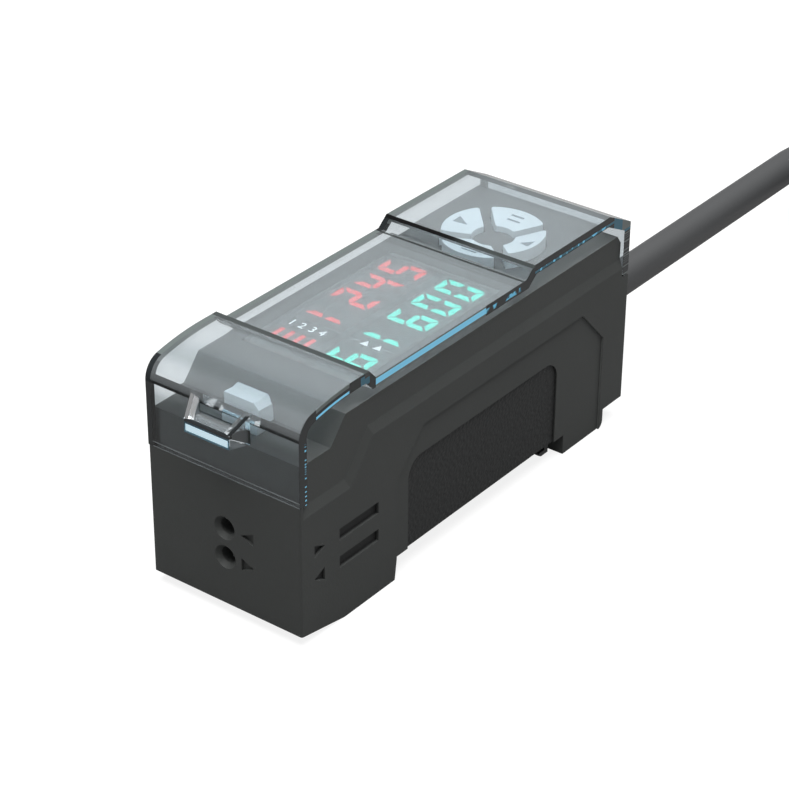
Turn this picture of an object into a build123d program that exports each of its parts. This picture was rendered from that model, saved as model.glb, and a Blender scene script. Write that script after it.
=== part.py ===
from build123d import *
from math import atan2, cos, degrees, radians, sin, tan
import os

# All sizes are in millimetres. The pieces are drawn with x = 0 in the middle of the width, y = 0 at the
# front face and z = 0 under the feet. Each is moved along y when it is written, so that the origin lies
# under the middle.

# Case, outside
case_width = 24.0
case_length = 70.8
deck_height = 28.7
edge_round = 0.3
upper_inset = 0.5

# Case, walls
side_wall = 1.8
shell_wall = 1.5
rear_wall = 1.8
floor_wall = 1.5

# Feet and the channel for a 35 mm rail between them
foot_chamfer_height = 1.5
front_foot_start = 8.35
front_foot_end = 18.5
front_foot_draft = 0.4
channel_height = 3.0
rear_foot_length = 9.35
rear_foot_setback = 4.8
rear_foot_round = 1.2
rear_underside = 2.87
rail_thickness = 1.0
front_hook_reach = 1.1
front_hook_width = 12.0
front_hook_thickness = 1.0

# Sloped band where the two halves of the case meet at the sides
band_start = 0.6
band_low_drop = 10.4
band_high_drop = 5.0
band_rise = 1.4
band_run = 4.45
band_front = 9.6

# Front: the ledge under the cover, the ledge of the lock button and the slope up to the deck
cover_ledge_drop = 8.65
lock_ledge_drop = 3.4
slope_foot = 6.4
slope_top = 9.3

# Rear: the step that the cover's rear plate stands in
rear_ledge_drop = 6.4
rear_step = 1.8
rear_edge_break = 0.3
deck_chamfer_run = 0.9
deck_chamfer_drop = 1.2

# Recesses in the lower half's sides
recess_front = 18.9
recess_setback = 5.7
recess_shoulder_drop = 14.0
recess_top_drop = 8.35
recess_corner = 5.4
recess_depth = 0.3
panel_front = 21.55
panel_setback = 2.25
panel_top_drop = 12.7
panel_round = 2.7
panel_depth = 0.3
vent_front = 7.4
vent_length = 7.7
vent_height = 1.7
vent_heights = (8.65, 12.65)
vent_depth = 0.5
arrow_length = 2.0
arrow_height = 1.8
arrow_depth = 0.4
side_arrow_places = (4.6, 2.5)

# Fibre ports and the block that holds the fibres
port_heights = (8.4, 12.6)
port_radius = 1.15
port_mouth_radius = 1.65
port_mouth_depth = 0.7
port_end = 14.0
port_mark_x = 3.6
block_width = 9.0
block_end = 17.0
block_top = 17.0
block_flange_width = 16.0
block_flange_start = 9.0
block_flange_end = 14.0
block_flange_height = 1.5
block_screw_x = 6.3

# Optics behind the ports
lens_radius = 1.5
lens_thickness = 0.9
light_package = 3.2
light_package_depth = 1.4
fit_gap = 0.1
sensor_board_thickness = 1.0
sensor_board_low = 4.9
sensor_board_screw_x = 3.3
sensor_board_screw_radius = 0.5

# Lock button and the slide that pinches the fibres
lock_width = 5.45
lock_front = 4.0
lock_rear = 6.6
lock_top_drop = 0.1
lock_chamfer = 0.8
lock_travel = 1.2
lock_bite = 0.3
lock_gap = 0.12
lock_flange = 0.55
lock_flange_thickness = 0.8
slide_thickness = 1.0
slide_low = 6.0
slide_window_gap = 0.1

# Clear cover
cover_wall = 1.4
cover_gap = 0.1
cover_low_gap = 0.05
cover_rise = 4.2
cover_middle_drop = 1.4
nose_radius = 3.0
nose_turn = 78.0
crown_end = 10.65
front_step = (13.2, 14.5)
rear_step_setbacks = (24.9, 23.2)
tail_setback = 0.3
tail_length = 5.2
tail_drop = 2.65

# Finger tab on the cover
tab_reach = 2.6
tab_low_drop = 6.6
tab_thickness = 1.8
tab_width = 7.0
tab_top_width = 10.3
tab_top_drop = 1.5
tab_top_y = 1.4
tab_wall = 1.2

# Cover hinge
pin_radius = 0.4
pin_fit = 0.05
pin_press = 0.02
barrel_radius = 0.95
barrel_gap = 0.15
ear_radius = 1.0
ear_setback = 2.4
ear_width = 1.4
ear_gap = 0.12

# Display window
window_margin = 2.6
window_front = 14.5
window_keypad_gap = 3.9
window_thickness = 0.5
window_ledge = 0.6
window_gap = 0.05

# Lit displays under the window
display_gap = 0.05
display_margin = 0.7
display_inner_x = 0.6
display_front = 15.3
display_split = 23.7
display_joint = 0.2
segment_thickness = 0.15
segment_width = 0.62
segment_gap = 0.14
digit_count = 4
digit_spare_height = 1.5
digit_spacing = 1.75
digit_row_end = 0.3
digit_row_margin = 0.45
red_digit_margin = 0.34
cyan_digit_margin = 0.74
channel_digit_y = 19.45
bar_width = 0.55
bar_length = 2.1
bar_y = 19.1
bar_margin = 1.14
bar_row_spare = 2.59

# Round keypad
keypad_setback = 15.4
key_outer = 7.0
key_inner = 2.95
key_spacing = 1.6
key_rim_rise = 1.6
key_hub_rise = 0.75
key_gap = 0.15
key_round = 0.4
key_flange = 0.4
key_flange_thickness = 0.7
key_travel = 0.35

# Switches under the keys
switch_size = 3.2
switch_reach = 5.0
switch_height = 0.9
switch_floor = 0.1
plunger_radius = 0.8
plunger_fit = 0.1

# Boards
board_thickness = 1.0
display_board_drop = 3.6
display_board_margin = 1.2
display_board_front = 11.0
display_board_setback = 4.3
display_post_inset = (1.4, 1.9, 1.6)
main_board_low = 6.2
main_board_margin = 0.7
main_board_front = 18.6
main_board_setback = 4.8
main_post_inset = (2.0, 4.4, 4.5)
post_radius = 1.3

# Screws
screw_radius = 0.6
screw_gap = 0.05
screw_head_radius = 1.3
screw_head_height = 0.8
screw_reach = 1.3
screw_socket = 0.5
cross_width = 0.3
small_screw_scale = 0.8

# Parts on the boards
header_width = 6.4
header_length = 2.6
header_height = 2.0
connector_inset = 2.1
connector_setback = 14.5
connector_width = 2.6
connector_length = 15.0
lower_connector_height = 6.0
upper_connector_height = 4.0
pin_size = 0.6
pin_pitch = 1.27
pin_count = 11
processor_size = 7.0
processor_height = 1.2
processor_x = -2.5
capacitor_radius = 2.5
capacitor_height = 5.4
capacitor_xs = (-5.0, 0.6)
capacitor_y = 29.0
inductor_size = 5.0
inductor_height = 2.8
inductor_x = -5.6
inductor_setback = 14.5
transistor_size = (2.9, 1.6)
transistor_height = 1.1
transistor_x = 1.5
transistor_setbacks = (15.0, 11.5)

# Snap tabs that hold the two halves together
snap_width = 5.0
snap_thickness = 0.95
snap_drop = 9.7
snap_hook = 0.45
snap_hook_height = 1.0
snap_front_y = 28.0
snap_setback = 20.8
snap_gap = 0.05
snap_clearance = 0.15

# Sliding rail clip
clip_head_margin = 1.1
clip_nose = 1.3
clip_web = 0.8
clip_stop_gap = 0.3
clip_low = 1.3
clip_bar_width = 12.0
clip_bar_low = 1.1
clip_bar_high = 2.8
clip_gap = 0.1
clip_lip_gap = 0.7
clip_lip_length = 2.5
clip_lip_low = 0.6
clip_slot_width = 5.0
clip_slot_depth = 1.1
clip_travel = 2.2
spring_pocket_wall = 2.0
spring_pocket_width = 2.4
spring_post_width = 1.6
spring_post_length = 0.8
spring_post_setback = 0.3
spring_radius = 0.62
spring_wire = 0.3
spring_turns = 9

# Cable
cable_diameter = 5.2
cable_height = 10.3
cable_inner_setback = 5.3
relief_inner_flange = 1.3
relief_flange_radius = 4.3
relief_collar_radius = 4.0
relief_collar = 1.2
relief_neck_radius = 3.25
relief_start_radius = 3.75
relief_end_radius = 3.1
relief_length = 10.0
relief_gap = 0.05
core_radius = 0.55
core_pitch = 1.2
core_count = 4
core_bend = 1.2
core_drop = 2.2

# Route of the free cable from the strain relief to the hank, as (x, distance behind the relief, z)
cable_route = [(0.0, 0.0, 10.3), (0.0, 61.2, 10.3), (0.0, 81.2, 3.15), (0.0, 93.2, 3.15)]

# Hank of the unseen length, with its tie
hank_columns = 3
hank_rows = 5
hank_fold_radius = 15.6
hank_straight = 34.0
tie_thickness = 0.5
tie_width = 6.0
tie_setback = 4.0
tie_gap = 0.05
tail_turn = 126.0
lead_count = 4
lead_radius = 0.6
lead_pitch = 1.26
lead_fans = (1.5, 2.4)
lead_reach = 15.0

# Derived places
half_width = case_width / 2
upper_half = half_width - upper_inset
inner_half = half_width - side_wall
band_low = deck_height - band_low_drop
band_high = deck_height - band_high_drop
cover_ledge = deck_height - cover_ledge_drop
lock_ledge = deck_height - lock_ledge_drop
rear_ledge = deck_height - rear_ledge_drop
recess_shoulder = deck_height - recess_shoulder_drop
recess_top = deck_height - recess_top_drop
panel_top = deck_height - panel_top_drop
lock_top = deck_height - lock_top_drop
cover_low = cover_ledge + cover_low_gap
cover_top = deck_height + cover_rise
cover_middle = cover_top - cover_middle_drop
tail_height = cover_top - tail_drop
tab_low = cover_top - tab_low_drop
tab_top_height = cover_top - tab_top_drop
display_board_top = deck_height - display_board_drop
snap_low = deck_height - snap_drop
rear_foot_end = case_length - rear_foot_setback
rear_foot_start = rear_foot_end - rear_foot_length
recess_rear = case_length - recess_setback
panel_rear = rear_foot_start - panel_setback
floor_top = channel_height + floor_wall
front_foot_rear = front_foot_end + front_foot_draft
ledge_depth = cover_wall + cover_gap
parting_low = band_low + band_rise
parting_high = band_high + band_rise
upper_rear = case_length - rear_step
deck_low = deck_height - shell_wall
tail_end = case_length - tail_setback
hinge_y = tail_end - cover_wall / 2
hinge_z = rear_ledge + cover_gap + cover_wall / 2
ear_outer_x = half_width - ear_setback
ear_inner_x = ear_outer_x - ear_width
keypad_y = case_length - keypad_setback
window_rear = keypad_y - key_outer - window_keypad_gap
window_width = 2 * (upper_half - window_margin)
window_low = deck_height - window_thickness
display_rear = window_rear - display_margin
display_outer_x = window_width / 2 - display_margin
display_top = window_low - display_gap
housing_top = display_top - segment_thickness
digit_height = display_outer_x - display_inner_x - digit_spare_height
digit_pitch = (display_rear - display_split - digit_row_end) / digit_count
digit_width = digit_pitch - digit_spacing
digit_last_y = display_rear - digit_row_margin - digit_width / 2
red_digit_top = red_digit_margin - display_outer_x
cyan_digit_top = display_inner_x + cyan_digit_margin
bar_first_x = bar_margin - display_outer_x
bar_pitch = (display_outer_x - display_inner_x - bar_row_spare) / 3
display_board_low = display_board_top - board_thickness
display_board_width = 2 * (inner_half - display_board_margin)
display_board_rear = case_length - display_board_setback
display_post_x = display_board_width / 2 - display_post_inset[0]
display_post_ys = (display_board_front + display_post_inset[1], display_board_rear - display_post_inset[2])
main_board_width = 2 * (inner_half - main_board_margin)
main_board_rear = case_length - main_board_setback
main_post_x = main_board_width / 2 - main_post_inset[0]
main_post_ys = (main_board_front + main_post_inset[1], main_board_rear - main_post_inset[2])
connector_x = display_board_width / 2 - connector_inset
connector_y = main_post_ys[0] + connector_setback
inductor_y = main_board_rear - inductor_setback
processor_y = (capacitor_y + inductor_y) / 2
snap_ys = (snap_front_y, case_length - snap_setback)
main_board_top = main_board_low + board_thickness
lock_middle = (lock_front + lock_rear) / 2
lock_low = lock_ledge - shell_wall - fit_gap
key_flange_top = deck_low - key_gap
key_flange_low = key_flange_top - key_flange_thickness
clip_head_rear = rear_foot_start - clip_travel - clip_stop_gap
clip_head_width = case_width - 2 * clip_head_margin
clip_web_front = clip_head_rear - clip_web
clip_head_front = clip_web_front - clip_nose
clip_lip_front = rear_foot_end + clip_lip_gap
clip_lip_rear = clip_lip_front + clip_lip_length
spring_pocket_front = rear_foot_start + spring_pocket_wall
spring_post_rear = rear_foot_end - spring_post_setback
spring_post_front = spring_post_rear - spring_post_length
sensor_board_front = block_end
sensor_board_rear = sensor_board_front + sensor_board_thickness
cable_radius = cable_diameter / 2
cable_inner_end = case_length - cable_inner_setback
relief_end = case_length + relief_length
hank_outer_radius = hank_fold_radius + (hank_columns - 1) / 2 * cable_diameter
hank_low = tie_thickness + tie_gap
hank_top = hank_low + hank_rows * cable_diameter
hank_x = cable_route[-1][0] + hank_outer_radius
hank_near_y = relief_end + cable_route[-1][1]
hank_far_y = hank_near_y + hank_straight
origin_y = (case_length - tab_reach) / 2
past = 1.0


def block(low, high):
    # A box between two corners
    size = [b - a for a, b in zip(low, high)]
    return Pos(*low) * Box(*size, align=(Align.MIN, Align.MIN, Align.MIN))


def slab(outline, low_x, high_x):
    # A plate between two x places, whose outline is given as (y, z) points
    face = Plane.YZ.offset(low_x) * make_face(Polyline(*outline, close=True))
    return extrude(face, amount=high_x - low_x)


def rod_x(radius, low_x, high_x, y, z):
    # A round bar along x
    rod = Cylinder(radius, high_x - low_x, rotation=(0, 90, 0), align=(Align.CENTER, Align.CENTER, Align.MIN))
    return Pos(low_x, y, z) * rod


def rod_y(radius, low_y, high_y, x, z):
    # A round bar along y
    rod = Cylinder(radius, high_y - low_y, rotation=(-90, 0, 0), align=(Align.CENTER, Align.CENTER, Align.MIN))
    return Pos(x, low_y, z) * rod


def rod_z(radius, low_z, high_z, x, y):
    # A round bar along z
    return Pos(x, y, low_z) * Cylinder(radius, high_z - low_z, align=(Align.CENTER, Align.CENTER, Align.MIN))


def both_sides(shape):
    # A shape and its mirror image on the other side of the middle
    return shape + mirror(shape, about=Plane.YZ)


def band_line(offset):
    # The line along which the case steps in at the sides, moved square to itself by offset
    shift = offset * tan(atan2(band_high - band_low, band_run) / 2)
    return [(band_front - shift, band_low + offset), (band_front + band_run - shift, band_high + offset)]


def band_cutter():
    # What the sloped band takes off one side of the lower half
    sections = []
    for x, offset in ((half_width + upper_inset, -band_rise), (half_width - upper_inset, band_rise)):
        front = [(band_start, deck_height), (band_start, band_low + offset)]
        rear = [(case_length + past, band_high + offset), (case_length + past, deck_height)]
        outline = [*front, *band_line(offset), *rear]
        sections.append(Plane.YZ.offset(x) * make_face(Polyline(*outline, close=True)))
    return loft(sections, ruled=True)


def lower_outline():
    # The lower half seen from the side
    front = [(0, cover_ledge), (0, foot_chamfer_height), (front_foot_start, 0), (front_foot_end, 0)]
    channel = [(front_foot_rear, channel_height), (rear_foot_start, channel_height), (rear_foot_start, 0)]
    rear = [(rear_foot_end, 0), (rear_foot_end, rear_underside), (case_length, rear_underside)]
    step = [
        (case_length, rear_ledge - rear_edge_break),
        (case_length - rear_edge_break, rear_ledge),
        (upper_rear, rear_ledge),
        (upper_rear, parting_high),
    ]
    top = [*reversed(band_line(band_rise)), (ledge_depth, parting_low), (ledge_depth, cover_ledge)]
    return front + channel + rear + step + top


def lower_inside():
    # The lower half's hollow, seen from the side
    inner_rear = case_length - rear_wall
    step_rear = upper_rear - shell_wall
    step_height = rear_ledge - shell_wall
    floor = [(-past, floor_top), (inner_rear, floor_top)]
    step = [(inner_rear, step_height), (step_rear, step_height), (step_rear, deck_height)]
    return floor + step + [(-past, deck_height)]


def upper_outline():
    # The upper half seen from the side
    front = [(ledge_depth, parting_low), (ledge_depth, lock_ledge), (slope_foot, lock_ledge)]
    deck = [(slope_top, deck_height), (upper_rear - deck_chamfer_run, deck_height)]
    rear = [(upper_rear, deck_height - deck_chamfer_drop), (upper_rear, parting_high)]
    return front + deck + rear + list(reversed(band_line(band_rise)))


def side_arrow(tip, base, height):
    # A triangle sunk in the side, as (y, z) points
    return [(tip, height), (base, height + arrow_height / 2), (base, height - arrow_height / 2)]


def side_recesses():
    # Everything sunk in the +x side of the lower half
    middle = slab(
        [
            (recess_front, -past),
            (recess_front, recess_shoulder),
            (recess_front + recess_corner, recess_top),
            (recess_rear - recess_corner, recess_top),
            (recess_rear, recess_shoulder),
            (recess_rear, -past),
        ],
        half_width - recess_depth,
        half_width + past,
    )
    panel_x = half_width - recess_depth - panel_depth
    panel = block((panel_x, panel_front, -past), (half_width + past, panel_rear, panel_top))
    panel = fillet(panel.edges().filter_by(Axis.X).group_by(Axis.Z)[-1], panel_round)
    cuts = middle + panel
    for height in vent_heights:
        low = (half_width - vent_depth, vent_front, height - vent_height / 2)
        high = (half_width + past, vent_front + vent_length, height + vent_height / 2)
        cuts += block(low, high)
    lower_place, upper_place = side_arrow_places
    arrow_x = half_width - arrow_depth
    lower_arrow = side_arrow(upper_place, upper_place + arrow_length, vent_heights[0])
    upper_arrow = side_arrow(lower_place, lower_place - arrow_length, vent_heights[1])
    cuts += slab(lower_arrow, arrow_x, half_width + past)
    cuts += slab(upper_arrow, arrow_x, half_width + past)
    return cuts


def hinge_ear():
    # One of the two lugs that hold the hinge pin
    round_end = rod_x(ear_radius, ear_inner_x, ear_outer_x, hinge_y, hinge_z)
    web = block(
        (ear_inner_x, upper_rear - fit_gap, rear_ledge - fit_gap),
        (ear_outer_x, hinge_y, hinge_z + ear_radius),
    )
    base = block(
        (ear_inner_x, hinge_y - ear_radius, rear_ledge - fit_gap),
        (ear_outer_x, hinge_y + ear_radius, hinge_z),
    )
    return round_end + web + base


def lower_case():
    shell = slab(lower_outline(), -half_width, half_width)
    foot = shell.edges().filter_by(Axis.X).filter_by(lambda e: abs(e.center().Y - rear_foot_end) < 0.01)
    shell = fillet(foot.group_by(Axis.Z)[0], rear_foot_round)
    corners = shell.edges().filter_by(Axis.Z).filter_by(lambda e: e.center().Y < 0.01)
    corners += shell.edges().filter_by(Axis.Z).filter_by(lambda e: e.center().Y > case_length - 0.01)
    shell = fillet(corners, edge_round)
    shell -= both_sides(band_cutter())
    shell -= both_sides(side_recesses())
    shell -= slab(lower_inside(), -inner_half, inner_half)
    hole_start = case_length - rear_wall - past
    shell -= rod_y(relief_neck_radius + relief_gap, hole_start, case_length + past, 0, cable_height)
    shell -= block(
        (-clip_bar_width / 2 - clip_gap, rear_foot_start - past, clip_bar_low - clip_gap),
        (clip_bar_width / 2 + clip_gap, rear_foot_end + past, clip_bar_high + clip_gap),
    )
    shell += block(
        (-spring_post_width / 2, spring_post_front, clip_bar_low - 2 * clip_gap),
        (spring_post_width / 2, spring_post_rear, clip_bar_high + 2 * clip_gap),
    )
    hook_top = channel_height - rail_thickness - fit_gap / 2
    shell += block(
        (-front_hook_width / 2, front_foot_end - past, hook_top - front_hook_thickness),
        (front_hook_width / 2, front_foot_rear + front_hook_reach, hook_top),
    )
    for y in main_post_ys:
        for x in (-main_post_x, main_post_x):
            shell += rod_z(post_radius, floor_top - fit_gap, main_board_low, x, y)
            shell -= rod_z(screw_radius + screw_gap, floor_top - screw_socket, main_board_low + past, x, y)
    for x in (-block_screw_x, block_screw_x):
        y = (block_flange_start + block_flange_end) / 2
        shell -= rod_z(screw_radius + screw_gap, floor_top - screw_reach - screw_socket, floor_top + past, x, y)
    reach = snap_hook + snap_clearance
    half = snap_width / 2 + snap_clearance
    snap_high = snap_low + snap_hook_height + snap_clearance
    for y in snap_ys:
        low = (inner_half - past, y - half, snap_low - snap_clearance)
        shell -= both_sides(block(low, (inner_half + reach, y + half, snap_high)))
    shell -= rod_x(barrel_radius + barrel_gap, -ear_inner_x, ear_inner_x, hinge_y, hinge_z)
    shell += both_sides(hinge_ear())
    shell -= rod_x(pin_radius + pin_press, -ear_outer_x - past, ear_outer_x + past, hinge_y, hinge_z)
    return shell


def key_sector(inner, outer, spacing, low, high):
    # A quarter of a ring towards +x from the keypad's middle, with straight sides beside the diagonals
    ring = rod_z(outer, low, high, 0, 0) - rod_z(inner, low - past, high + past, 0, 0)
    tip = spacing / 2**0.5
    side = outer * 2
    wedge = make_face(Polyline((tip, 0), (tip + side, side), (tip + side, -side), close=True))
    return ring & extrude(Pos(0, 0, low) * wedge, amount=high - low)


def to_keypad(shape, turn):
    # Turns a shape about the keypad's middle and puts it there
    return Pos(0, keypad_y, 0) * (Rot(0, 0, turn) * shape)


def upper_case():
    shell = slab(upper_outline(), -upper_half, upper_half)
    slope = atan2(deck_height - lock_ledge, slope_top - slope_foot)
    # The inside follows the slope at the wall's thickness
    shift = shell_wall / sin(slope) - shell_wall / tan(slope)
    inside = [
        (ledge_depth + shell_wall, parting_low - past),
        (ledge_depth + shell_wall, lock_ledge - shell_wall),
        (slope_foot + shift, lock_ledge - shell_wall),
        (slope_top + shift, deck_low),
        (upper_rear - shell_wall, deck_low),
        (upper_rear - shell_wall, parting_low - past),
    ]
    shell -= slab(inside, -inner_half, inner_half)
    shell -= lock_opening()
    shell -= window_openings()
    spacing = key_spacing - 2 * key_gap
    inner, outer = key_inner - key_gap, key_outer + key_gap
    for turn in range(0, 360, 90):
        hole = key_sector(inner, outer, spacing, deck_low - past, deck_height + past)
        shell -= to_keypad(hole, turn)
    for y in display_post_ys:
        for x in (-display_post_x, display_post_x):
            shell += rod_z(post_radius, display_board_top, deck_low + fit_gap, x, y)
            shell -= rod_z(screw_radius + screw_gap, display_board_top - past, deck_low + screw_socket, x, y)
    for y in snap_ys:
        shell += both_sides(snap_tab(y))
    return shell


def lock_opening():
    # The hole in the front ledge that the lock button moves in
    reach = lock_width / 2 + lock_gap
    low = (-reach, lock_front - lock_gap, lock_ledge - 2 * shell_wall)
    return block(low, (reach, lock_rear + lock_gap, deck_height + past))


def window_openings():
    # The hole for the window and the narrower one for the displays below it
    reach = window_width / 2 + window_gap
    pocket = block(
        (-reach, window_front - window_gap, window_low),
        (reach, window_rear + window_gap, deck_height + past),
    )
    inner = window_width / 2 - window_ledge
    hole = block(
        (-inner, window_front + window_ledge, deck_low - past),
        (inner, window_rear - window_ledge, deck_height),
    )
    return pocket + hole


def snap_tab(y):
    # A springy tab that hangs from the deck and hooks behind the lower half's wall
    outer = inner_half - snap_gap
    tab = block(
        (outer - snap_thickness, y - snap_width / 2, snap_low),
        (outer, y + snap_width / 2, deck_low + fit_gap),
    )
    hook = [
        (outer - fit_gap, snap_low),
        (outer, snap_low),
        (inner_half + snap_hook, snap_low + snap_hook_height * 0.7),
        (inner_half + snap_hook, snap_low + snap_hook_height),
        (outer - fit_gap, snap_low + snap_hook_height),
    ]
    face = Plane.XZ.offset(-y - snap_width / 2) * make_face(Polyline(*hook, close=True))
    return tab + extrude(face, amount=snap_width)


def fibre_block():
    plate = block((-inner_half, 0, floor_top), (inner_half, ledge_depth, cover_ledge))
    body = block((-block_width / 2, ledge_depth - fit_gap, floor_top), (block_width / 2, block_end, block_top))
    flange = block(
        (-block_flange_width / 2, block_flange_start, floor_top),
        (block_flange_width / 2, block_flange_end, floor_top + block_flange_height),
    )
    piece = plate + body + flange
    seat = light_package / 2 + fit_gap
    package_front = block_end - light_package_depth
    for z in port_heights:
        piece -= rod_y(port_radius, -past, port_end, 0, z)
        mouth = Cone(port_mouth_radius, port_radius, port_mouth_depth, rotation=(-90, 0, 0))
        piece -= Pos(0, port_mouth_depth / 2, z) * mouth
        piece -= rod_y(lens_radius + fit_gap / 2, port_end, package_front + fit_gap, 0, z)
        piece -= block((-seat, package_front, z - seat), (seat, block_end + past, z + seat))
        piece -= port_mark(z)
    piece -= block(
        (-slide_half() - lock_gap, lock_middle - slide_thickness / 2 - lock_gap, floor_top - past),
        (slide_half() + lock_gap, lock_middle + slide_thickness / 2 + lock_gap, block_top + past),
    )
    for x in (-block_screw_x, block_screw_x):
        y = (block_flange_start + block_flange_end) / 2
        piece -= rod_z(screw_radius + screw_gap, floor_top - past, floor_top + block_flange_height + past, x, y)
    for x in (-sensor_board_screw_x, sensor_board_screw_x):
        depth = block_end - screw_reach - screw_socket
        piece -= rod_y(sensor_board_screw_radius + screw_gap, depth, block_end + past, x, sum(port_heights) / 2)
    return piece


def port_mark(z):
    # A plain triangle beside a port: light comes in at the upper one and goes out at the lower one
    turn = 1 if z == port_heights[0] else -1
    half = arrow_length / 2
    points = [
        (port_mark_x + turn * half, z),
        (port_mark_x - turn * half, z + arrow_height / 2),
        (port_mark_x - turn * half, z - arrow_height / 2),
    ]
    face = Plane.XZ * make_face(Polyline(*points, close=True))
    return extrude(face, amount=arrow_depth, both=True)


def slide_half():
    return lock_width / 2 - fit_gap


def lock_button():
    cap = block((-lock_width / 2, lock_front, lock_low), (lock_width / 2, lock_rear, lock_top))
    right_top = cap.edges().filter_by(Axis.Y).sort_by(lambda e: e.center().X + e.center().Z)[-1]
    cap = chamfer(right_top, lock_chamfer)
    flange = block(
        (-lock_width / 2 - lock_flange, lock_front - lock_flange, lock_low - lock_flange_thickness),
        (lock_width / 2 + lock_flange, lock_rear + lock_flange, lock_low),
    )
    return cap + flange


def lock_slide():
    half = slide_thickness / 2
    top = lock_low - lock_flange_thickness
    plate = block((-slide_half(), lock_middle - half, slide_low), (slide_half(), lock_middle + half, top))
    width = 2 * (port_radius + slide_window_gap)
    rise = lock_travel - lock_bite
    for z in port_heights:
        window = Plane.XZ * (Pos(0, z + rise / 2) * SlotOverall(width + rise, width, rotation=90))
        plate -= Pos(0, lock_middle, 0) * extrude(window, amount=past, both=True)
    return plate


def lens(z):
    # A plano-convex lens that sits at the inner end of a port
    drum = rod_y(lens_radius, port_end, port_end + lens_thickness, 0, z)
    ball = Pos(0, port_end + lens_radius * 1.2, z) * Sphere(lens_radius * 1.2)
    return drum & ball


def light_part(z):
    # A square package that faces a port, with its round window
    half = light_package / 2
    front = block_end - light_package_depth
    body = block((-half, front, z - half), (half, block_end, z + half))
    return body - rod_y(half * 0.7, front - past, front + 0.3, 0, z)


def sensor_board():
    piece = block(
        (-block_width / 2, sensor_board_front, sensor_board_low),
        (block_width / 2, sensor_board_rear, block_top),
    )
    for x in (-sensor_board_screw_x, sensor_board_screw_x):
        hole = sensor_board_screw_radius + screw_gap
        piece -= rod_y(hole, sensor_board_front - past, sensor_board_rear + past, x, sum(port_heights) / 2)
    return piece


def sensor_board_screws():
    # Two screws, from behind
    screws = []
    for x in (-sensor_board_screw_x, sensor_board_screw_x):
        shape = screw_shape(small_screw_scale, sensor_board_screw_radius, sensor_board_thickness)
        screws.append(Pos(x, sensor_board_rear, sum(port_heights) / 2) * (Rot(-90, 0, 0) * shape))
    return screws


def screw_shape(head_scale, radius, grip):
    # A pan-head screw with a cross recess. Its head stands on z = 0 and its shank goes down.
    head_radius = screw_head_radius * head_scale
    head_height = screw_head_height * head_scale
    head = rod_z(head_radius, 0, head_height, 0, 0)
    head = fillet(head.faces().sort_by(Axis.Z)[-1].edges(), head_height * 0.4)
    recess = Box(cross_width, head_radius, head_height) + Box(head_radius, cross_width, head_height)
    shank = rod_z(radius, -grip - screw_reach, head_height / 4, 0, 0)
    return head - Pos(0, 0, head_height) * recess + shank


def display_board_screws():
    # Four screws, from below
    screws = []
    for y in display_post_ys:
        for x in (-display_post_x, display_post_x):
            shape = screw_shape(1, screw_radius, board_thickness)
            screws.append(Pos(x, y, display_board_low) * (Rot(180, 0, 0) * shape))
    return screws


def main_board_screws():
    # Four screws, from above
    screws = []
    for y in main_post_ys:
        for x in (-main_post_x, main_post_x):
            shape = screw_shape(1, screw_radius, board_thickness)
            screws.append(Pos(x, y, main_board_top) * shape)
    return screws


def block_screws():
    # Two screws that hold the fibre block down
    screws = []
    for x in (-block_screw_x, block_screw_x):
        y = (block_flange_start + block_flange_end) / 2
        shape = screw_shape(1, screw_radius, block_flange_height)
        screws.append(Pos(x, y, floor_top + block_flange_height) * shape)
    return screws


def display_board():
    half = display_board_width / 2
    low = (-half, display_board_front, display_board_low)
    piece = block(low, (half, display_board_rear, display_board_top))
    for y in display_post_ys:
        for x in (-display_post_x, display_post_x):
            piece -= rod_z(screw_radius + screw_gap, display_board_low - past, display_board_top + past, x, y)
    return piece


def main_board():
    half = main_board_width / 2
    piece = block((-half, main_board_front, main_board_low), (half, main_board_rear, main_board_top))
    for y in main_post_ys:
        for x in (-main_post_x, main_post_x):
            piece -= rod_z(screw_radius + screw_gap, main_board_low - past, main_board_top + past, x, y)
    return piece


def display_window():
    half = window_width / 2
    return block((-half, window_front, window_low), (half, window_rear, deck_height))


def display_housing(side, low_y, high_y):
    # A display's black body, on the left (-1) or the right (1) of the middle
    low_x, high_x = sorted((side * display_inner_x, side * display_outer_x))
    return block((low_x, low_y, display_board_top), (high_x, high_y, housing_top))


def segment(length):
    # A lit segment along y with pointed ends, standing on the housing
    half = segment_width / 2
    end = length / 2
    tip = min(half, end / 2)
    points = [
        (0, -end),
        (half, -end + tip),
        (half, end - tip),
        (0, end),
        (-half, end - tip),
        (-half, -end + tip),
    ]
    face = Pos(0, 0, housing_top) * make_face(Polyline(*points, close=True))
    return extrude(face, amount=segment_thickness)


def digit(top_x, middle_y):
    # Seven segments. The digit's top points to -x and it is read along +y.
    across = digit_width - segment_width - 2 * segment_gap
    upright = (digit_height - segment_width) / 2 - 2 * segment_gap
    middle_x = top_x + digit_height / 2
    quarter = (digit_height - segment_width) / 4
    side = (digit_width - segment_width) / 2
    bars = [Pos(top_x + segment_width / 2, middle_y, 0) * segment(across)]
    bars.append(Pos(middle_x, middle_y, 0) * segment(across))
    bars.append(Pos(top_x + digit_height - segment_width / 2, middle_y, 0) * segment(across))
    for x in (middle_x - quarter, middle_x + quarter):
        for y in (middle_y - side, middle_y + side):
            bars.append(Pos(x, y, 0) * (Rot(0, 0, 90) * segment(upright)))
    return bars


def digits(top_x):
    # A row of digits
    bars = []
    for number in range(digit_count):
        bars += digit(top_x, digit_last_y - number * digit_pitch)
    return bars


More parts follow.
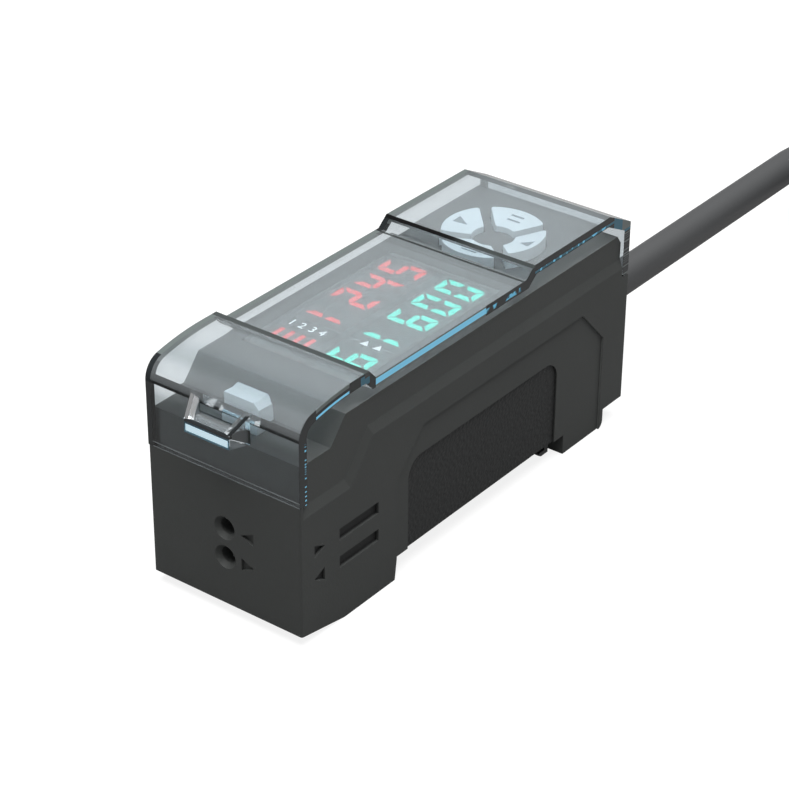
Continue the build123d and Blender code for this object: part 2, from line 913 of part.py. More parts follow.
def output_bars():
    # Four short bars, one for each output
    bars = []
    for number in range(4):
        x = bar_first_x + number * bar_pitch
        low = (x - bar_width / 2, bar_y - bar_length / 2, housing_top)
        bars.append(block(low, (x + bar_width / 2, bar_y + bar_length / 2, display_top)))
    return bars


def key(turn):
    # One of the four keys: a dished cap over a wider flange
    top = deck_height + key_rim_rise
    cap = key_sector(key_inner, key_outer, key_spacing, key_flange_low, top + past)
    cap = fillet(cap.edges().filter_by(Axis.Z), key_round)
    rim_z = deck_height + key_rim_rise
    hub_z = deck_height + key_hub_rise
    fall = (rim_z - hub_z) / (key_outer - key_inner)
    profile = [
        (0, hub_z - fall * key_inner),
        (2 * key_outer, rim_z + fall * key_outer),
        (2 * key_outer, top + 4),
        (0, top + 4),
    ]
    dish = revolve(Plane.XZ * make_face(Polyline(*profile, close=True)), axis=Axis.Z)
    cap -= dish
    spacing = key_spacing - 2 * key_flange
    flange = key_sector(key_inner - key_flange, key_outer + key_flange, spacing, key_flange_low, key_flange_top)
    return to_keypad(cap + flange, turn)


def key_switch(turn):
    # The low square switch under a key
    half = switch_size / 2
    body = block(
        (switch_reach - half, -half, display_board_top),
        (switch_reach + half, half, display_board_top + switch_height),
    )
    well = rod_z(plunger_radius + plunger_fit, display_board_top + switch_floor, deck_low, switch_reach, 0)
    return to_keypad(body - well, turn)


def key_plunger(turn):
    # The switch's own button, which the key pushes
    low = display_board_top + switch_floor + key_travel + fit_gap / 2
    return to_keypad(rod_z(plunger_radius, low, key_flange_low, switch_reach, 0), turn)


def on_main_board(size, height, place):
    width, length = size
    x, y = place
    low = (x - width / 2, y - length / 2, main_board_top)
    return block(low, (x + width / 2, y + length / 2, main_board_top + height))


def sensor_header():
    half = header_width / 2
    low = (-half, sensor_board_rear, main_board_top)
    return block(low, (half, sensor_board_rear + header_length, main_board_top + header_height))


def lower_connector():
    size = (connector_width, connector_length)
    return on_main_board(size, lower_connector_height, (connector_x, connector_y))


def upper_connector():
    half = connector_width / 2
    low = (connector_x - half, connector_y - connector_length / 2, display_board_low - upper_connector_height)
    return block(low, (connector_x + half, connector_y + connector_length / 2, display_board_low))


def connector_pins():
    # The pins between the two connectors
    pins = []
    for number in range(pin_count):
        y = connector_y + (number - (pin_count - 1) / 2) * pin_pitch
        half = pin_size / 2
        low = (connector_x - half, y - half, main_board_top + lower_connector_height)
        pins.append(block(low, (connector_x + half, y + half, display_board_low - upper_connector_height)))
    return pins


def processor():
    return on_main_board((processor_size, processor_size), processor_height, (processor_x, processor_y))


def capacitors():
    # Two upright cans
    cans = []
    for x in capacitor_xs:
        can = rod_z(capacitor_radius, main_board_top, main_board_top + capacitor_height, x, capacitor_y)
        cans.append(fillet(can.faces().sort_by(Axis.Z)[-1].edges(), 0.3))
    return cans


def inductor():
    body = on_main_board((inductor_size, inductor_size), inductor_height, (inductor_x, inductor_y))
    return chamfer(body.edges().filter_by(Axis.Z), inductor_size / 6)


def output_transistors():
    places = [(transistor_x, main_board_rear - setback) for setback in transistor_setbacks]
    return [on_main_board(transistor_size, transistor_height, place) for place in places]


def cover_section():
    # The bent sheet seen from the side: a region down to z = 0 less the same region taken in by the wall
    crown_turn = 90 - nose_turn
    nose_end_y = nose_radius - nose_radius * cos(radians(nose_turn))
    crown_radius = (crown_end - nose_end_y) / sin(radians(crown_turn))
    crown_rise = crown_radius * (1 - cos(radians(crown_turn)))
    nose_start = cover_top - crown_rise - nose_radius * sin(radians(nose_turn))
    front = Line((0, 0), (0, nose_start))
    nose = JernArc(front @ 1, front % 1, nose_radius, -nose_turn)
    crown = JernArc(nose @ 1, nose % 1, crown_radius, -crown_turn)
    rest = Polyline(
        crown @ 1,
        (front_step[0], cover_top),
        (front_step[1], cover_middle),
        (case_length - rear_step_setbacks[0], cover_middle),
        (case_length - rear_step_setbacks[1], cover_top),
        (tail_end - tail_length, cover_top),
        (tail_end, tail_height),
        (tail_end, 0),
        (0, 0),
    )
    outside = make_face(front + nose + crown + rest)
    return outside, offset(outside, amount=-cover_wall, kind=Kind.INTERSECTION)


def finger_tab():
    # A small shelf between two upright gussets that splay out towards the cover
    splay = atan2((tab_top_width - tab_width) / 2, tab_top_y + tab_reach)
    inside_y = cover_wall / 2
    widen = (tab_reach + inside_y) * tan(splay)
    corners = [
        (-tab_width / 2, -tab_reach),
        (tab_width / 2, -tab_reach),
        (tab_width / 2 + widen, inside_y),
        (-tab_width / 2 - widen, inside_y),
    ]
    shelf = extrude(Pos(0, 0, tab_low) * make_face(Polyline(*corners, close=True)), amount=tab_thickness)
    length = (tab_top_y + tab_reach) / cos(splay)
    back = (inside_y + tab_reach) / cos(splay)
    outline = [
        (0, tab_low),
        (0, tab_low + tab_thickness),
        (length, tab_top_height),
        (length - 0.2, tab_top_height - 1.2),
        (back, tab_top_height - nose_radius),
        (back, tab_low),
    ]
    plane = Plane(
        origin=(tab_width / 2, -tab_reach, 0),
        x_dir=(sin(splay), cos(splay), 0),
        z_dir=(cos(splay), -sin(splay), 0),
    )
    gusset = extrude(plane * make_face(Polyline(*outline, close=True)), amount=-tab_wall)
    return shelf + both_sides(gusset)


def dust_cover():
    outside, inside = cover_section()
    half = half_width
    sheet = extrude(Plane.YZ.offset(-half) * outside, amount=2 * half)
    hollow = extrude(Plane.YZ.offset(-half - past) * inside, amount=2 * half + 2 * past)
    sheet -= hollow
    middle = case_length / 2
    sheet -= block((-half - past, -past, -past), (half + past, middle + past, cover_low))
    sheet -= block((-half - past, middle, -past), (half + past, case_length + past, hinge_z))
    sheet += rod_x(cover_wall / 2, -half, half, hinge_y, hinge_z)
    sheet += finger_tab()
    sheet -= both_sides(
        block(
            (ear_inner_x - ear_gap, upper_rear - past, rear_ledge - past),
            (ear_outer_x + ear_gap, case_length + past, hinge_z + ear_radius + ear_gap),
        )
    )
    barrel_end = ear_inner_x - ear_gap
    sheet += rod_x(barrel_radius, -barrel_end, barrel_end, hinge_y, hinge_z)
    sheet -= rod_x(pin_radius + pin_fit, -barrel_end - past, barrel_end + past, hinge_y, hinge_z)
    return sheet


def hinge_pin():
    return rod_x(pin_radius, -ear_outer_x, ear_outer_x, hinge_y, hinge_z)


def rail_clip():
    head = slab(
        [
            (clip_head_front, clip_low + 0.3),
            (clip_head_front + 0.5, clip_low),
            (clip_head_rear, clip_low),
            (clip_head_rear, channel_height - clip_gap / 2),
            (clip_web_front, channel_height - clip_gap / 2),
            (clip_web_front, channel_height - rail_thickness - fit_gap / 2),
            (clip_head_front, channel_height - rail_thickness - fit_gap),
        ],
        -clip_head_width / 2,
        clip_head_width / 2,
    )
    half = clip_bar_width / 2
    bar = block((-half, clip_head_rear - past / 2, clip_bar_low), (half, clip_lip_rear - past, clip_bar_high))
    lip = block((-half, clip_lip_front, clip_lip_low), (half, clip_lip_rear, rear_underside - clip_gap))
    lip = fillet(lip.edges().filter_by(Axis.X).group_by(Axis.Z)[0], edge_round)
    lip_middle = (clip_lip_front + clip_lip_rear) / 2
    slot = block(
        (-clip_slot_width / 2, lip_middle - clip_slot_depth / 2, -past),
        (clip_slot_width / 2, lip_middle + clip_slot_depth / 2, channel_height + past),
    )
    pocket = block(
        (-spring_pocket_width / 2, spring_pocket_front, -past),
        (spring_pocket_width / 2, spring_post_rear + clip_gap, channel_height + past),
    )
    return head + bar + lip - slot - pocket


def clip_spring():
    # A small coil spring between the clip's pocket and the post in the foot
    length = spring_post_front - spring_pocket_front - spring_wire - 0.1
    pitch = length / spring_turns
    coil = Helix(pitch, length, spring_radius)
    ring = Plane(origin=coil @ 0, z_dir=coil % 0) * Circle(spring_wire / 2)
    wire = sweep(ring, path=coil, is_frenet=True)
    middle_z = (clip_bar_low + clip_bar_high) / 2
    return Pos(0, spring_pocket_front + spring_wire / 2 + 0.05, middle_z) * (Rot(-90, 0, 0) * wire)


def cable_relief():
    # A moulded boot: a flange inside the rear wall, a collar outside it and a taper along the cable
    wall_inner = case_length - rear_wall - relief_gap
    wall_outer = case_length + relief_gap
    bore = cable_radius + relief_gap
    profile = [
        (bore, wall_inner - relief_inner_flange),
        (relief_flange_radius, wall_inner - relief_inner_flange),
        (relief_flange_radius, wall_inner),
        (relief_neck_radius, wall_inner),
        (relief_neck_radius, wall_outer),
        (relief_collar_radius, wall_outer),
        (relief_collar_radius, wall_outer + relief_collar),
        (relief_start_radius, wall_outer + relief_collar),
        (relief_end_radius, relief_end),
        (bore, relief_end),
    ]
    boot = revolve(make_face(Polyline(*profile, close=True)), axis=Axis.Y)
    return Pos(0, 0, cable_height) * boot


def cable_entry():
    # The end of the cable inside the case and in the relief
    return rod_y(cable_radius, cable_inner_end, relief_end, 0, cable_height)


def cable_cores():
    # The four cores inside, from the cable's end down to the main board
    cores = []
    for number in range(core_count):
        x = (number - (core_count - 1) / 2) * core_pitch
        y = cable_inner_end - core_drop
        path = FilletPolyline(
            (x, cable_inner_end, cable_height),
            (x, y, cable_height),
            (x, y, main_board_top),
            radius=core_bend,
        )
        cores.append(sweep(Plane(origin=path @ 0, z_dir=path % 0) * Circle(core_radius), path=path))
    return cores


def tube(points, radius):
    # A tube along straight runs joined by arcs as large as the runs allow
    places = [Vector(*point) for point in points]
    radii = []
    for before, corner, after in zip(places, places[1:], places[2:]):
        turn = radians((corner - before).get_angle(after - corner))
        shorter = min((corner - before).length, (after - corner).length)
        radii.append(0.45 * shorter / tan(turn / 2))
    path = FilletPolyline(*places, radius=radii)
    solid = sweep(Plane(origin=path @ 0, z_dir=path % 0) * Circle(radius), path=path)
    return solid, path, radii


def cable():
    points = [(x, relief_end + distance, z) for x, distance, z in cable_route]
    solid, path, radii = tube(points, cable_radius)
    wanted = path.length * 3.14159265 * cable_radius**2
    print("cable radii", [round(r, 1) for r in radii], "length", round(path.length, 1))
    print("cable volume over section times length", round(solid.volume / wanted, 5))
    return solid


def long_loop(radius, low, high):
    # An upright block whose plan is two half circles joined by straight sides along y
    plan = Rot(0, 0, 90) * SlotCenterToCenter(hank_straight, 2 * radius)
    return extrude(Pos(hank_x, (hank_near_y + hank_far_y) / 2, low) * plan, amount=high - low)


def cable_hank():
    # The cable comes in along +y on the hank's outer column
    outer = hank_outer_radius + cable_radius
    hank = long_loop(outer, hank_low, hank_top)
    hank -= long_loop(outer - hank_columns * cable_diameter, hank_low - past, hank_top + past)
    flat_edges = hank.edges().filter_by(lambda e: abs(e.center().Z - (hank_low + hank_top) / 2) > past)
    return fillet(flat_edges, cable_radius * 0.8)


def cable_tail():
    # The last part of a turn, which lies on the hank
    start = (hank_x - hank_fold_radius, hank_near_y, hank_top + cable_radius)
    run = Line(start, (start[0], hank_far_y, start[2]))
    fold = CenterArc((hank_x, hank_far_y, start[2]), hank_fold_radius, 180, -tail_turn)
    return sweep(Plane(origin=start, z_dir=(0, 1, 0)) * Circle(cable_radius), path=run + fold)


def tie_outline(grow):
    # The tie's line round the hank and the tail on it, seen along the cable, as (x, z) points
    outer = hank_outer_radius + cable_radius + tie_gap + grow
    tail_x = hank_x - hank_fold_radius
    tail_high = hank_top + cable_diameter + tie_gap + grow
    return [
        (hank_x - outer, hank_low - tie_gap - grow),
        (hank_x - outer, hank_top + cable_radius),
        (tail_x - cable_radius / 2, tail_high),
        (tail_x + cable_radius, tail_high),
        (hank_x + outer, hank_top + tie_gap + grow),
        (hank_x + outer, hank_low - tie_gap - grow),
    ]


def cable_tie():
    # A flat strap round the hank
    plane = Plane.XZ.offset(-hank_near_y - tie_setback)
    outside = plane * make_face(Polyline(*tie_outline(tie_thickness), close=True))
    inside = plane * make_face(Polyline(*tie_outline(0), close=True))
    return extrude(outside - inside, amount=-tie_width)


def cable_leads():
    # The four stripped cores at the cable's end, which droop onto the hank and fan out
    low = hank_top + lead_radius + tie_gap
    angle = radians(180 - tail_turn)
    leads = []
    for number in range(lead_count):
        side = number - (lead_count - 1) / 2
        start_radius = hank_fold_radius + side * lead_pitch
        start = (hank_x + start_radius * cos(angle), hank_far_y + start_radius * sin(angle), low + 0.9)
        bend = (hank_x + hank_fold_radius + side * lead_fans[0], hank_far_y, low)
        end = (hank_x + hank_fold_radius + side * lead_fans[1] - 1, hank_far_y - lead_reach, low)
        leads.append(tube([start, bend, end], lead_radius)[0])
    return leads


def write(name, shape):
    # Moves a piece to the part's own origin and writes it
    solids = shape if isinstance(shape, list) else [shape]
    moved = [Pos(0, -origin_y, 0) * solid for solid in solids]
    export_step(moved[0] if len(moved) == 1 else Compound(children=moved), f"parts/{name}.step")


os.makedirs("parts", exist_ok=True)

write("lower_case", lower_case())
write("upper_case", upper_case())
write("fibre_block", fibre_block())
write("block_screws", block_screws())
write("lock_button", lock_button())
write("lock_slide", lock_slide())
write("dust_cover", dust_cover())
write("hinge_pin", hinge_pin())
write("display_window", display_window())

write("output_display", display_housing(-1, display_front, display_split - display_joint))
write("channel_display", display_housing(1, display_front, display_split - display_joint))
write("red_display", display_housing(-1, display_split, display_rear))
write("cyan_display", display_housing(1, display_split, display_rear))
write("output_bars", output_bars())
write("channel_segments", digit(cyan_digit_top, channel_digit_y))
write("red_segments", digits(red_digit_top))
write("cyan_segments", digits(cyan_digit_top))

for key_name, key_turn in (("right", 0), ("rear", 90), ("left", 180), ("front", 270)):
    write(f"{key_name}_key", key(key_turn))
    write(f"{key_name}_switch", key_switch(key_turn))
    write(f"{key_name}_plunger", key_plunger(key_turn))

write("display_board", display_board())
write("display_board_screws", display_board_screws())
write("main_board", main_board())
write("main_board_screws", main_board_screws())
write("sensor_board", sensor_board())
write("sensor_board_screws", sensor_board_screws())
write("sensor_header", sensor_header())
write("emitter_lens", lens(port_heights[0]))
write("receiver_lens", lens(port_heights[1]))
write("colour_lamp", light_part(port_heights[0]))
write("light_receiver", light_part(port_heights[1]))
write("lower_connector", lower_connector())
write("upper_connector", upper_connector())
write("connector_pins", connector_pins())
write("processor", processor())
write("capacitors", capacitors())
write("inductor", inductor())
write("output_transistors", output_transistors())

write("rail_clip", rail_clip())
write("clip_spring", clip_spring())

write("cable_relief", cable_relief())
write("cable_entry", cable_entry())
write("cable_cores", cable_cores())
write("cable", cable())
write("cable_hank", cable_hank())
write("cable_tie", cable_tie())
write("cable_tail", cable_tail())
write("cable_leads", cable_leads())
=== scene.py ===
import math

import bmesh
import bpy
from mathutils import Matrix, Vector


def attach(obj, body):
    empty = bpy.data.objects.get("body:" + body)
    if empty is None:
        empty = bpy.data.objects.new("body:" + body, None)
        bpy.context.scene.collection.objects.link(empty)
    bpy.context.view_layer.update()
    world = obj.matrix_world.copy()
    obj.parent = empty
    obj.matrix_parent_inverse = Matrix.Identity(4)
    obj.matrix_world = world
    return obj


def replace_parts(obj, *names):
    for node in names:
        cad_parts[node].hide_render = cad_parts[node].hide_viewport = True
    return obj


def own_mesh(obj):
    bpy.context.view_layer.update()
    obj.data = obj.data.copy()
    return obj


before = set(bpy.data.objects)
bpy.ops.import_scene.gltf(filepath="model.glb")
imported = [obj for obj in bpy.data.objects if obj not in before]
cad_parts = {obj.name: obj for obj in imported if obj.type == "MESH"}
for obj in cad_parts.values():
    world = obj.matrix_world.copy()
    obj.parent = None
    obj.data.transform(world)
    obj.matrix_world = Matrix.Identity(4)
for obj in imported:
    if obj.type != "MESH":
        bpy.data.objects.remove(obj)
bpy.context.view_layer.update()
mm = 0.001
frontFace = 34.1  # mm from the part's middle forward to the front face of the case
farOff = 99.0  # mm, beyond the whole case
print("frame loaded,", len(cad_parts), "nodes")


# Camera: the photograph's own view, solved from the case's straight edges
cameraView = {
    "target": (-3.900, 4.945, 11.954),  # mm, on the optical axis beside the middle of the case
    "azimuth": 37.299,
    "elevation": 30.468,
    "roll": 0.399,
    "distance": 332.86,
    "lens": 114.03,
}


def makeCamera(view):
    azimuth, elevation, roll = (math.radians(view[key]) for key in ("azimuth", "elevation", "roll"))
    level = math.cos(elevation)
    back = Vector((math.sin(azimuth) * level, -math.cos(azimuth) * level, math.sin(elevation)))
    right = Vector((math.cos(azimuth), math.sin(azimuth), 0))
    up = back.cross(right)
    tiltedRight = right * math.cos(roll) + up * math.sin(roll)
    tiltedUp = up * math.cos(roll) - right * math.sin(roll)
    turn = Matrix((tiltedRight, tiltedUp, back)).transposed().to_4x4()
    place = (Vector(view["target"]) + back * view["distance"]) * mm
    data = bpy.data.cameras.new("camera")
    data.lens = view["lens"]
    data.sensor_width = 36
    data.clip_start = 0.01
    camera = bpy.data.objects.new("camera", data)
    camera.matrix_world = Matrix.Translation(place) @ turn
    bpy.context.scene.collection.objects.link(camera)
    bpy.context.scene.camera = camera


makeCamera(cameraView)


# Small helpers. A Mix node has sockets for each kind of value: these are the places of its colours and its vectors
colourA, colourB, colourOut = 6, 7, 2
vectorA, vectorB, vectorOut = 4, 5, 1


def linear(hexColour):
    # sRGB hex to the linear values that the shaders take
    parts = [int(hexColour[i:i + 2], 16) / 255 for i in (1, 3, 5)]
    return tuple(p / 12.92 if p <= 0.04045 else ((p + 0.055) / 1.055) ** 2.4 for p in parts) + (1.0,)


def addNode(tree, kind, settings=None, links=None):
    # A node with its own settings, its sockets' values and what feeds it
    node = tree.nodes.new(kind)
    for name, value in (settings or {}).items():
        if isinstance(name, str) and hasattr(node, name):
            setattr(node, name, value)
        else:
            node.inputs[name].default_value = value
    for name, source in (links or {}).items():
        tree.links.new(source, node.inputs[name])
    return node


def newMaterial(name):
    # An empty node material and its shader
    material = bpy.data.materials.new(name)
    material.use_nodes = True
    tree = material.node_tree
    tree.nodes.clear()
    shader = addNode(tree, "ShaderNodeBsdfPrincipled")
    addNode(tree, "ShaderNodeOutputMaterial", links={"Surface": shader.outputs["BSDF"]})
    return material, tree, shader


def setShader(shader, **values):
    # Constants go straight onto the shader's own sockets
    for name, value in values.items():
        shader.inputs[name.replace("_", " ")].default_value = value


def inFrame(x, y, z):
    # From mm, with y counted from the case's front face, to the frame's own metres
    return x * mm, (y - frontFace) * mm, z * mm


def flatShape(bm, outline, z, thickness):
    # A thin plate from an outline in mm, its underside at z
    face = bm.faces.new([bm.verts.new(inFrame(x, y, z)) for x, y in outline])
    made = bmesh.ops.extrude_face_region(bm, geom=[face])
    moved = [g for g in made["geom"] if isinstance(g, bmesh.types.BMVert)]
    bmesh.ops.translate(bm, verts=moved, vec=(0, 0, thickness * mm))


def meshPiece(name, bm, material, body):
    # Turns a bmesh into a finished piece that rides on a body
    bmesh.ops.remove_doubles(bm, verts=bm.verts, dist=1e-7)
    bmesh.ops.recalc_face_normals(bm, faces=bm.faces)
    mesh = bpy.data.meshes.new(name)
    bm.to_mesh(mesh)
    bm.free()
    mesh.materials.append(material)
    piece = bpy.data.objects.new(name, mesh)
    bpy.context.scene.collection.objects.link(piece)
    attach(piece, body)
    return piece


# Masks and patterns that the materials share
def inRange(tree, value, low, high, zero=0.0):
    # One where the value lies between two places in mm, counted from zero, else nothing
    above = addNode(tree, "ShaderNodeMath", {"operation": "GREATER_THAN", 1: (low - zero) * mm}, {0: value})
    below = addNode(tree, "ShaderNodeMath", {"operation": "LESS_THAN", 1: (high - zero) * mm}, {0: value})
    return allOf(tree, above.outputs[0], below.outputs[0])


def allOf(tree, *masks):
    result = masks[0]
    for mask in masks[1:]:
        result = addNode(tree, "ShaderNodeMath", {"operation": "MULTIPLY"}, {0: result, 1: mask}).outputs[0]
    return result


def anyOf(tree, *masks):
    result = masks[0]
    for mask in masks[1:]:
        result = addNode(tree, "ShaderNodeMath", {"operation": "MAXIMUM"}, {0: result, 1: mask}).outputs[0]
    return result


def paint(tree, colour, mask, hexColour):
    # Lays one plain colour over another where the mask is one
    mix = addNode(tree, "ShaderNodeMix", {"data_type": "RGBA", colourB: linear(hexColour)},
                  {"Factor": mask, colourA: colour})
    return mix.outputs[colourOut]


def blend(tree, factor, first, second):
    # From one plain colour to another along a factor
    mix = addNode(tree, "ShaderNodeMix", {"data_type": "RGBA", colourA: linear(first), colourB: linear(second)},
                  {"Factor": factor})
    return mix.outputs[colourOut]


def addRelief(tree, shader, place, relief):
    # A fine relief from a noise: how many grains a metre holds, their detail, how strong and how deep they are
    noise = addNode(tree, "ShaderNodeTexNoise", {"Scale": relief["perMetre"], "Detail": relief["detail"]},
                    {"Vector": place})
    bump = addNode(tree, "ShaderNodeBump", {"Strength": relief["strength"], "Distance": relief["depth"] * mm},
                   {"Height": noise.outputs["Fac"]})
    tree.links.new(bump.outputs["Normal"], shader.inputs["Normal"])
    return bump.outputs["Normal"]


# Cable: straight behind the case to the edge of the view, then the unseen length folded into a tied hank
cableWork = {
    "diameter": 5.2,
    "route": [(0.0, 80.8, 10.3), (0.0, 142.0, 10.3), (0.0, 162.0, 3.15), (0.0, 174.0, 3.15)],  # as in the part
    "straightEnd": 132.0,  # the photograph shows the cable straight up to its edge
    "foldRadius": 15.6,  # of the middle turns
    "columns": 3,
    "rows": 5,
    "rowQuarters": 8,  # quarters of a turn in a layer, before the one that rises to the next; the last has one less
    "runLength": 34.0,
    "runSteps": 3,
    "foldSteps": 12,
    "tailShare": 0.7,  # of the last fold
    "pathResolution": 4,
    "bevelResolution": 8,
}


def hankPoints(work):
    # Quarters of a turn follow one another: left run, far fold, right run, near fold. Each layer spirals inwards
    # or outwards in turn, and one more quarter rises to the next layer
    d = work["diameter"]
    outer = work["foldRadius"] + (work["columns"] - 1) / 2 * d
    nearY = work["route"][-1][1]
    farY = nearY + work["runLength"]
    pull = 0.75 + 0.25 * math.cos(math.pi / work["foldSteps"])  # the curve lies this much inside its points
    points = []

    def place(part, share, radius, height):
        y = nearY + work["runLength"] * share
        if part % 4 == 0:
            points.append((outer - radius, y, height))
        elif part % 4 == 2:
            points.append((outer + radius, nearY + farY - y, height))
        else:
            angle = math.pi * (1 - share) if part % 4 == 1 else -math.pi * share
            middleY = farY if part % 4 == 1 else nearY
            reach = radius / pull
            points.append((outer + reach * math.cos(angle), middleY + reach * math.sin(angle), height))

    part, radius, height = 0, outer, work["route"][-1][2]
    for layer in range(work["rows"]):
        last = layer == work["rows"] - 1
        inward = -1 if layer % 2 == 0 else 1
        for _ in range(work["rowQuarters"] - last):
            steps = work["foldSteps"] if part % 2 else work["runSteps"]
            for step in range(1, steps + 1):
                place(part, step / steps, radius + inward * d / 4 * step / steps, height)
            radius += inward * d / 4
            part += 1
        steps = work["foldSteps"] if part % 2 else work["runSteps"]
        for step in range(1, steps + 1):
            share = step / steps
            # The last rise also moves out to the middle turn, where the tail lies
            move = (work["foldRadius"] - radius) * max(0, 2 * share - 1) ** 2 if last else 0
            place(part, share, radius + move, height + (1 - math.cos(math.pi * share)) / 2 * d)
        height += d
        part += 1
    for step in range(1, work["runSteps"] + 1):
        place(part, step / work["runSteps"], work["foldRadius"], height)
    tailSteps = round(work["foldSteps"] * work["tailShare"])
    for step in range(1, tailSteps + 1):
        place(part + 1, step / tailSteps * work["tailShare"], work["foldRadius"], height)
    return points


def makeCurve(name, points, radius, resolution, bevel):
    # A smooth tube along one open spline, given in mm from the front face
    data = bpy.data.curves.new(name, "CURVE")
    data.dimensions = "3D"
    data.bevel_depth = radius * mm
    data.bevel_resolution = bevel
    data.resolution_u = resolution
    data.use_fill_caps = True
    spline = data.splines.new("NURBS")
    spline.points.add(len(points) - 1)
    for point, place in zip(spline.points, points):
        point.co = (*inFrame(*place), 1)
    spline.order_u = 3
    spline.use_endpoint_u = True
    piece = bpy.data.objects.new(name, data)
    bpy.context.scene.collection.objects.link(piece)
    return piece


def makeCable(work):
    route = work["route"]
    points = [route[0], (route[0][0], work["straightEnd"], route[0][2])] + route[1:] + hankPoints(work)
    return makeCurve("cableLead", points, work["diameter"] / 2, work["pathResolution"], work["bevelResolution"])


cable = makeCable(cableWork)
print("cable routed")


# The four cores at the cable's bare end, laid back on the hank
coreWork = {
    "radius": 0.6,
    "pitch": 1.26,
    "fans": (1.5, 2.4),  # spacing at the bend and at the tips
    "startRise": 0.9,  # from the hank's top to the cable's open end
    "reach": 15.0,
    "lean": 1.0,
    "rest": 27.2,  # height on the hank
    "bare": 5.0,
    "strandRadius": 0.38,
    "roughness": 0.38,
    "ripple": {"perMetre": 900.0, "detail": 2.0, "strength": 0.05, "depth": 0.1},
    "colours": {"Brown": "#6b3f25", "White": "#d9dad6", "Blue": "#2a5fa0", "Black": "#1b1b1c"},
}


def coreRoute(work, number):
    # Out of the cable's end, down onto the hank and back along its run
    fold = cableWork["foldRadius"]
    middleX = fold + (cableWork["columns"] - 1) / 2 * cableWork["diameter"]
    farY = cableWork["route"][-1][1] + cableWork["runLength"]
    angle = math.pi * (1 - cableWork["tailShare"])
    side = number - (len(work["colours"]) - 1) / 2
    out = fold + side * work["pitch"]
    near, far = work["fans"]
    return [
        (middleX + out * math.cos(angle), farY + out * math.sin(angle), work["rest"] + work["startRise"]),
        (middleX + fold + side * near, farY, work["rest"]),
        (middleX + fold + side * far - work["lean"], farY - work["reach"], work["rest"]),
    ]


def makeCores(work):
    cores = []
    for number, colour in enumerate(work["colours"]):
        points = coreRoute(work, number)
        core = makeCurve("core" + colour, points, work["radius"], resolution=12, bevel=4)
        core.data.materials.append(coreMaterial("core " + colour.lower() + " PVC", colour, work))
        tip, before = Vector(points[-1]), Vector(points[-2])
        onward = (tip - before).normalized()
        strand = makeCurve("strand" + colour, [tuple(tip - onward), tuple(tip + onward * work["bare"])],
                           work["strandRadius"], resolution=2, bevel=3)
        strand.data.materials.append(tinnedCopper)
        cores += [core, strand]
    return cores


def coreMaterial(name, colour, work):
    # Thin PVC insulation, extruded: smooth and slightly waxy, with faint ripples about 1 mm long
    material, tree, shader = newMaterial(name)
    place = addNode(tree, "ShaderNodeTexCoord").outputs["Object"]
    addRelief(tree, shader, place, work["ripple"])
    setShader(shader, Base_Color=linear(work["colours"][colour]), Roughness=work["roughness"])
    return material


# Metals
metalWork = {"stretch": (1.0, 0.05, 1.0), "detail": 3.0, "strength": 0.1, "depth": 0.05}


def metal(name, colour, roughness, grain, work):
    # Bare metal with fine drawing lines along Y, each about twenty times as long as it is wide
    material, tree, shader = newMaterial(name)
    coords = addNode(tree, "ShaderNodeTexCoord")
    stretch = addNode(tree, "ShaderNodeMapping", {"Scale": work["stretch"]}, {"Vector": coords.outputs["Object"]})
    addRelief(tree, shader, stretch.outputs["Vector"], {"perMetre": 1 / (grain * mm), **work})
    setShader(shader, Base_Color=linear(colour), Metallic=1.0, Roughness=roughness)
    return material


springSteel = metal("spring steel, zinc plated", "#b4b7ba", roughness=0.3, grain=0.12, work=metalWork)
tinnedCopper = metal("copper strands, tinned", "#c98b62", roughness=0.35, grain=0.1, work=metalWork)
goldPins = metal("brass pins, gold plated", "#d8b25a", roughness=0.3, grain=0.1, work=metalWork)
aluminiumCan = metal("aluminium can, drawn", "#c2c4c6", roughness=0.4, grain=0.15, work=metalWork)


# Case plastic: dark grey ABS from a spark-eroded mould, which leaves a fine even matt grain
caseWork = {
    "colour": "#484a49",
    "shade": "#434544",
    "roughness": 0.6,
    "gloss": 0.3,
    "grain": 0.3,  # mm, coarser than the real 0.1 mm so that it still shows
    "panelColourAndSlotShade": "#2f3030",
    "panelGrain": 0.55,
    "panelStrength": 0.7,
    "panelDepth": 0.3,  # of its grain
    "panelFloor": (11.3, 11.55),  # mm from the middle, the textured panel's surface
    "panelY": (21.3, 54.6),
    "panelTop": 16.1,
    "slotFloor": (11.4, 11.7),  # floors of the vents, darkened as painted shade, and of the arrows, filled with dark paint
    "slotY": (2.4, 15.2),
    "slotZ": (7.4, 13.8),
    "stepHighlight": "#6c6e6d",  # painted highlight: the thin steps round the side recess are painted lighter against the shade that falls in them
    "stepX": (11.72, 11.97),
    "stepY": (18.5, 65.5),
    "stepZ": (0.1, 20.6),
    # Painted light: the upper half's deck is painted lighter than the same ABS elsewhere, for the lamp it faces
    "upperDeckLitColour": "#616362",
    "upperShade": "#5b5d5c",
    "upperRoughness": 0.55,
    # Painted shade for the upper half's sides and front slope, which stand in the light's lee
    "upperSidePaintedShade": "#474948",
    "upperSideX": 11.3,
    "upperSideZ": 28.65,
    "slopeEnd": 9.25,
}


mouldWork = {"slowPerMetre": 120.0, "slowDetail": 3.0, "grainDetail": 2.0, "grainDepth": 0.2}


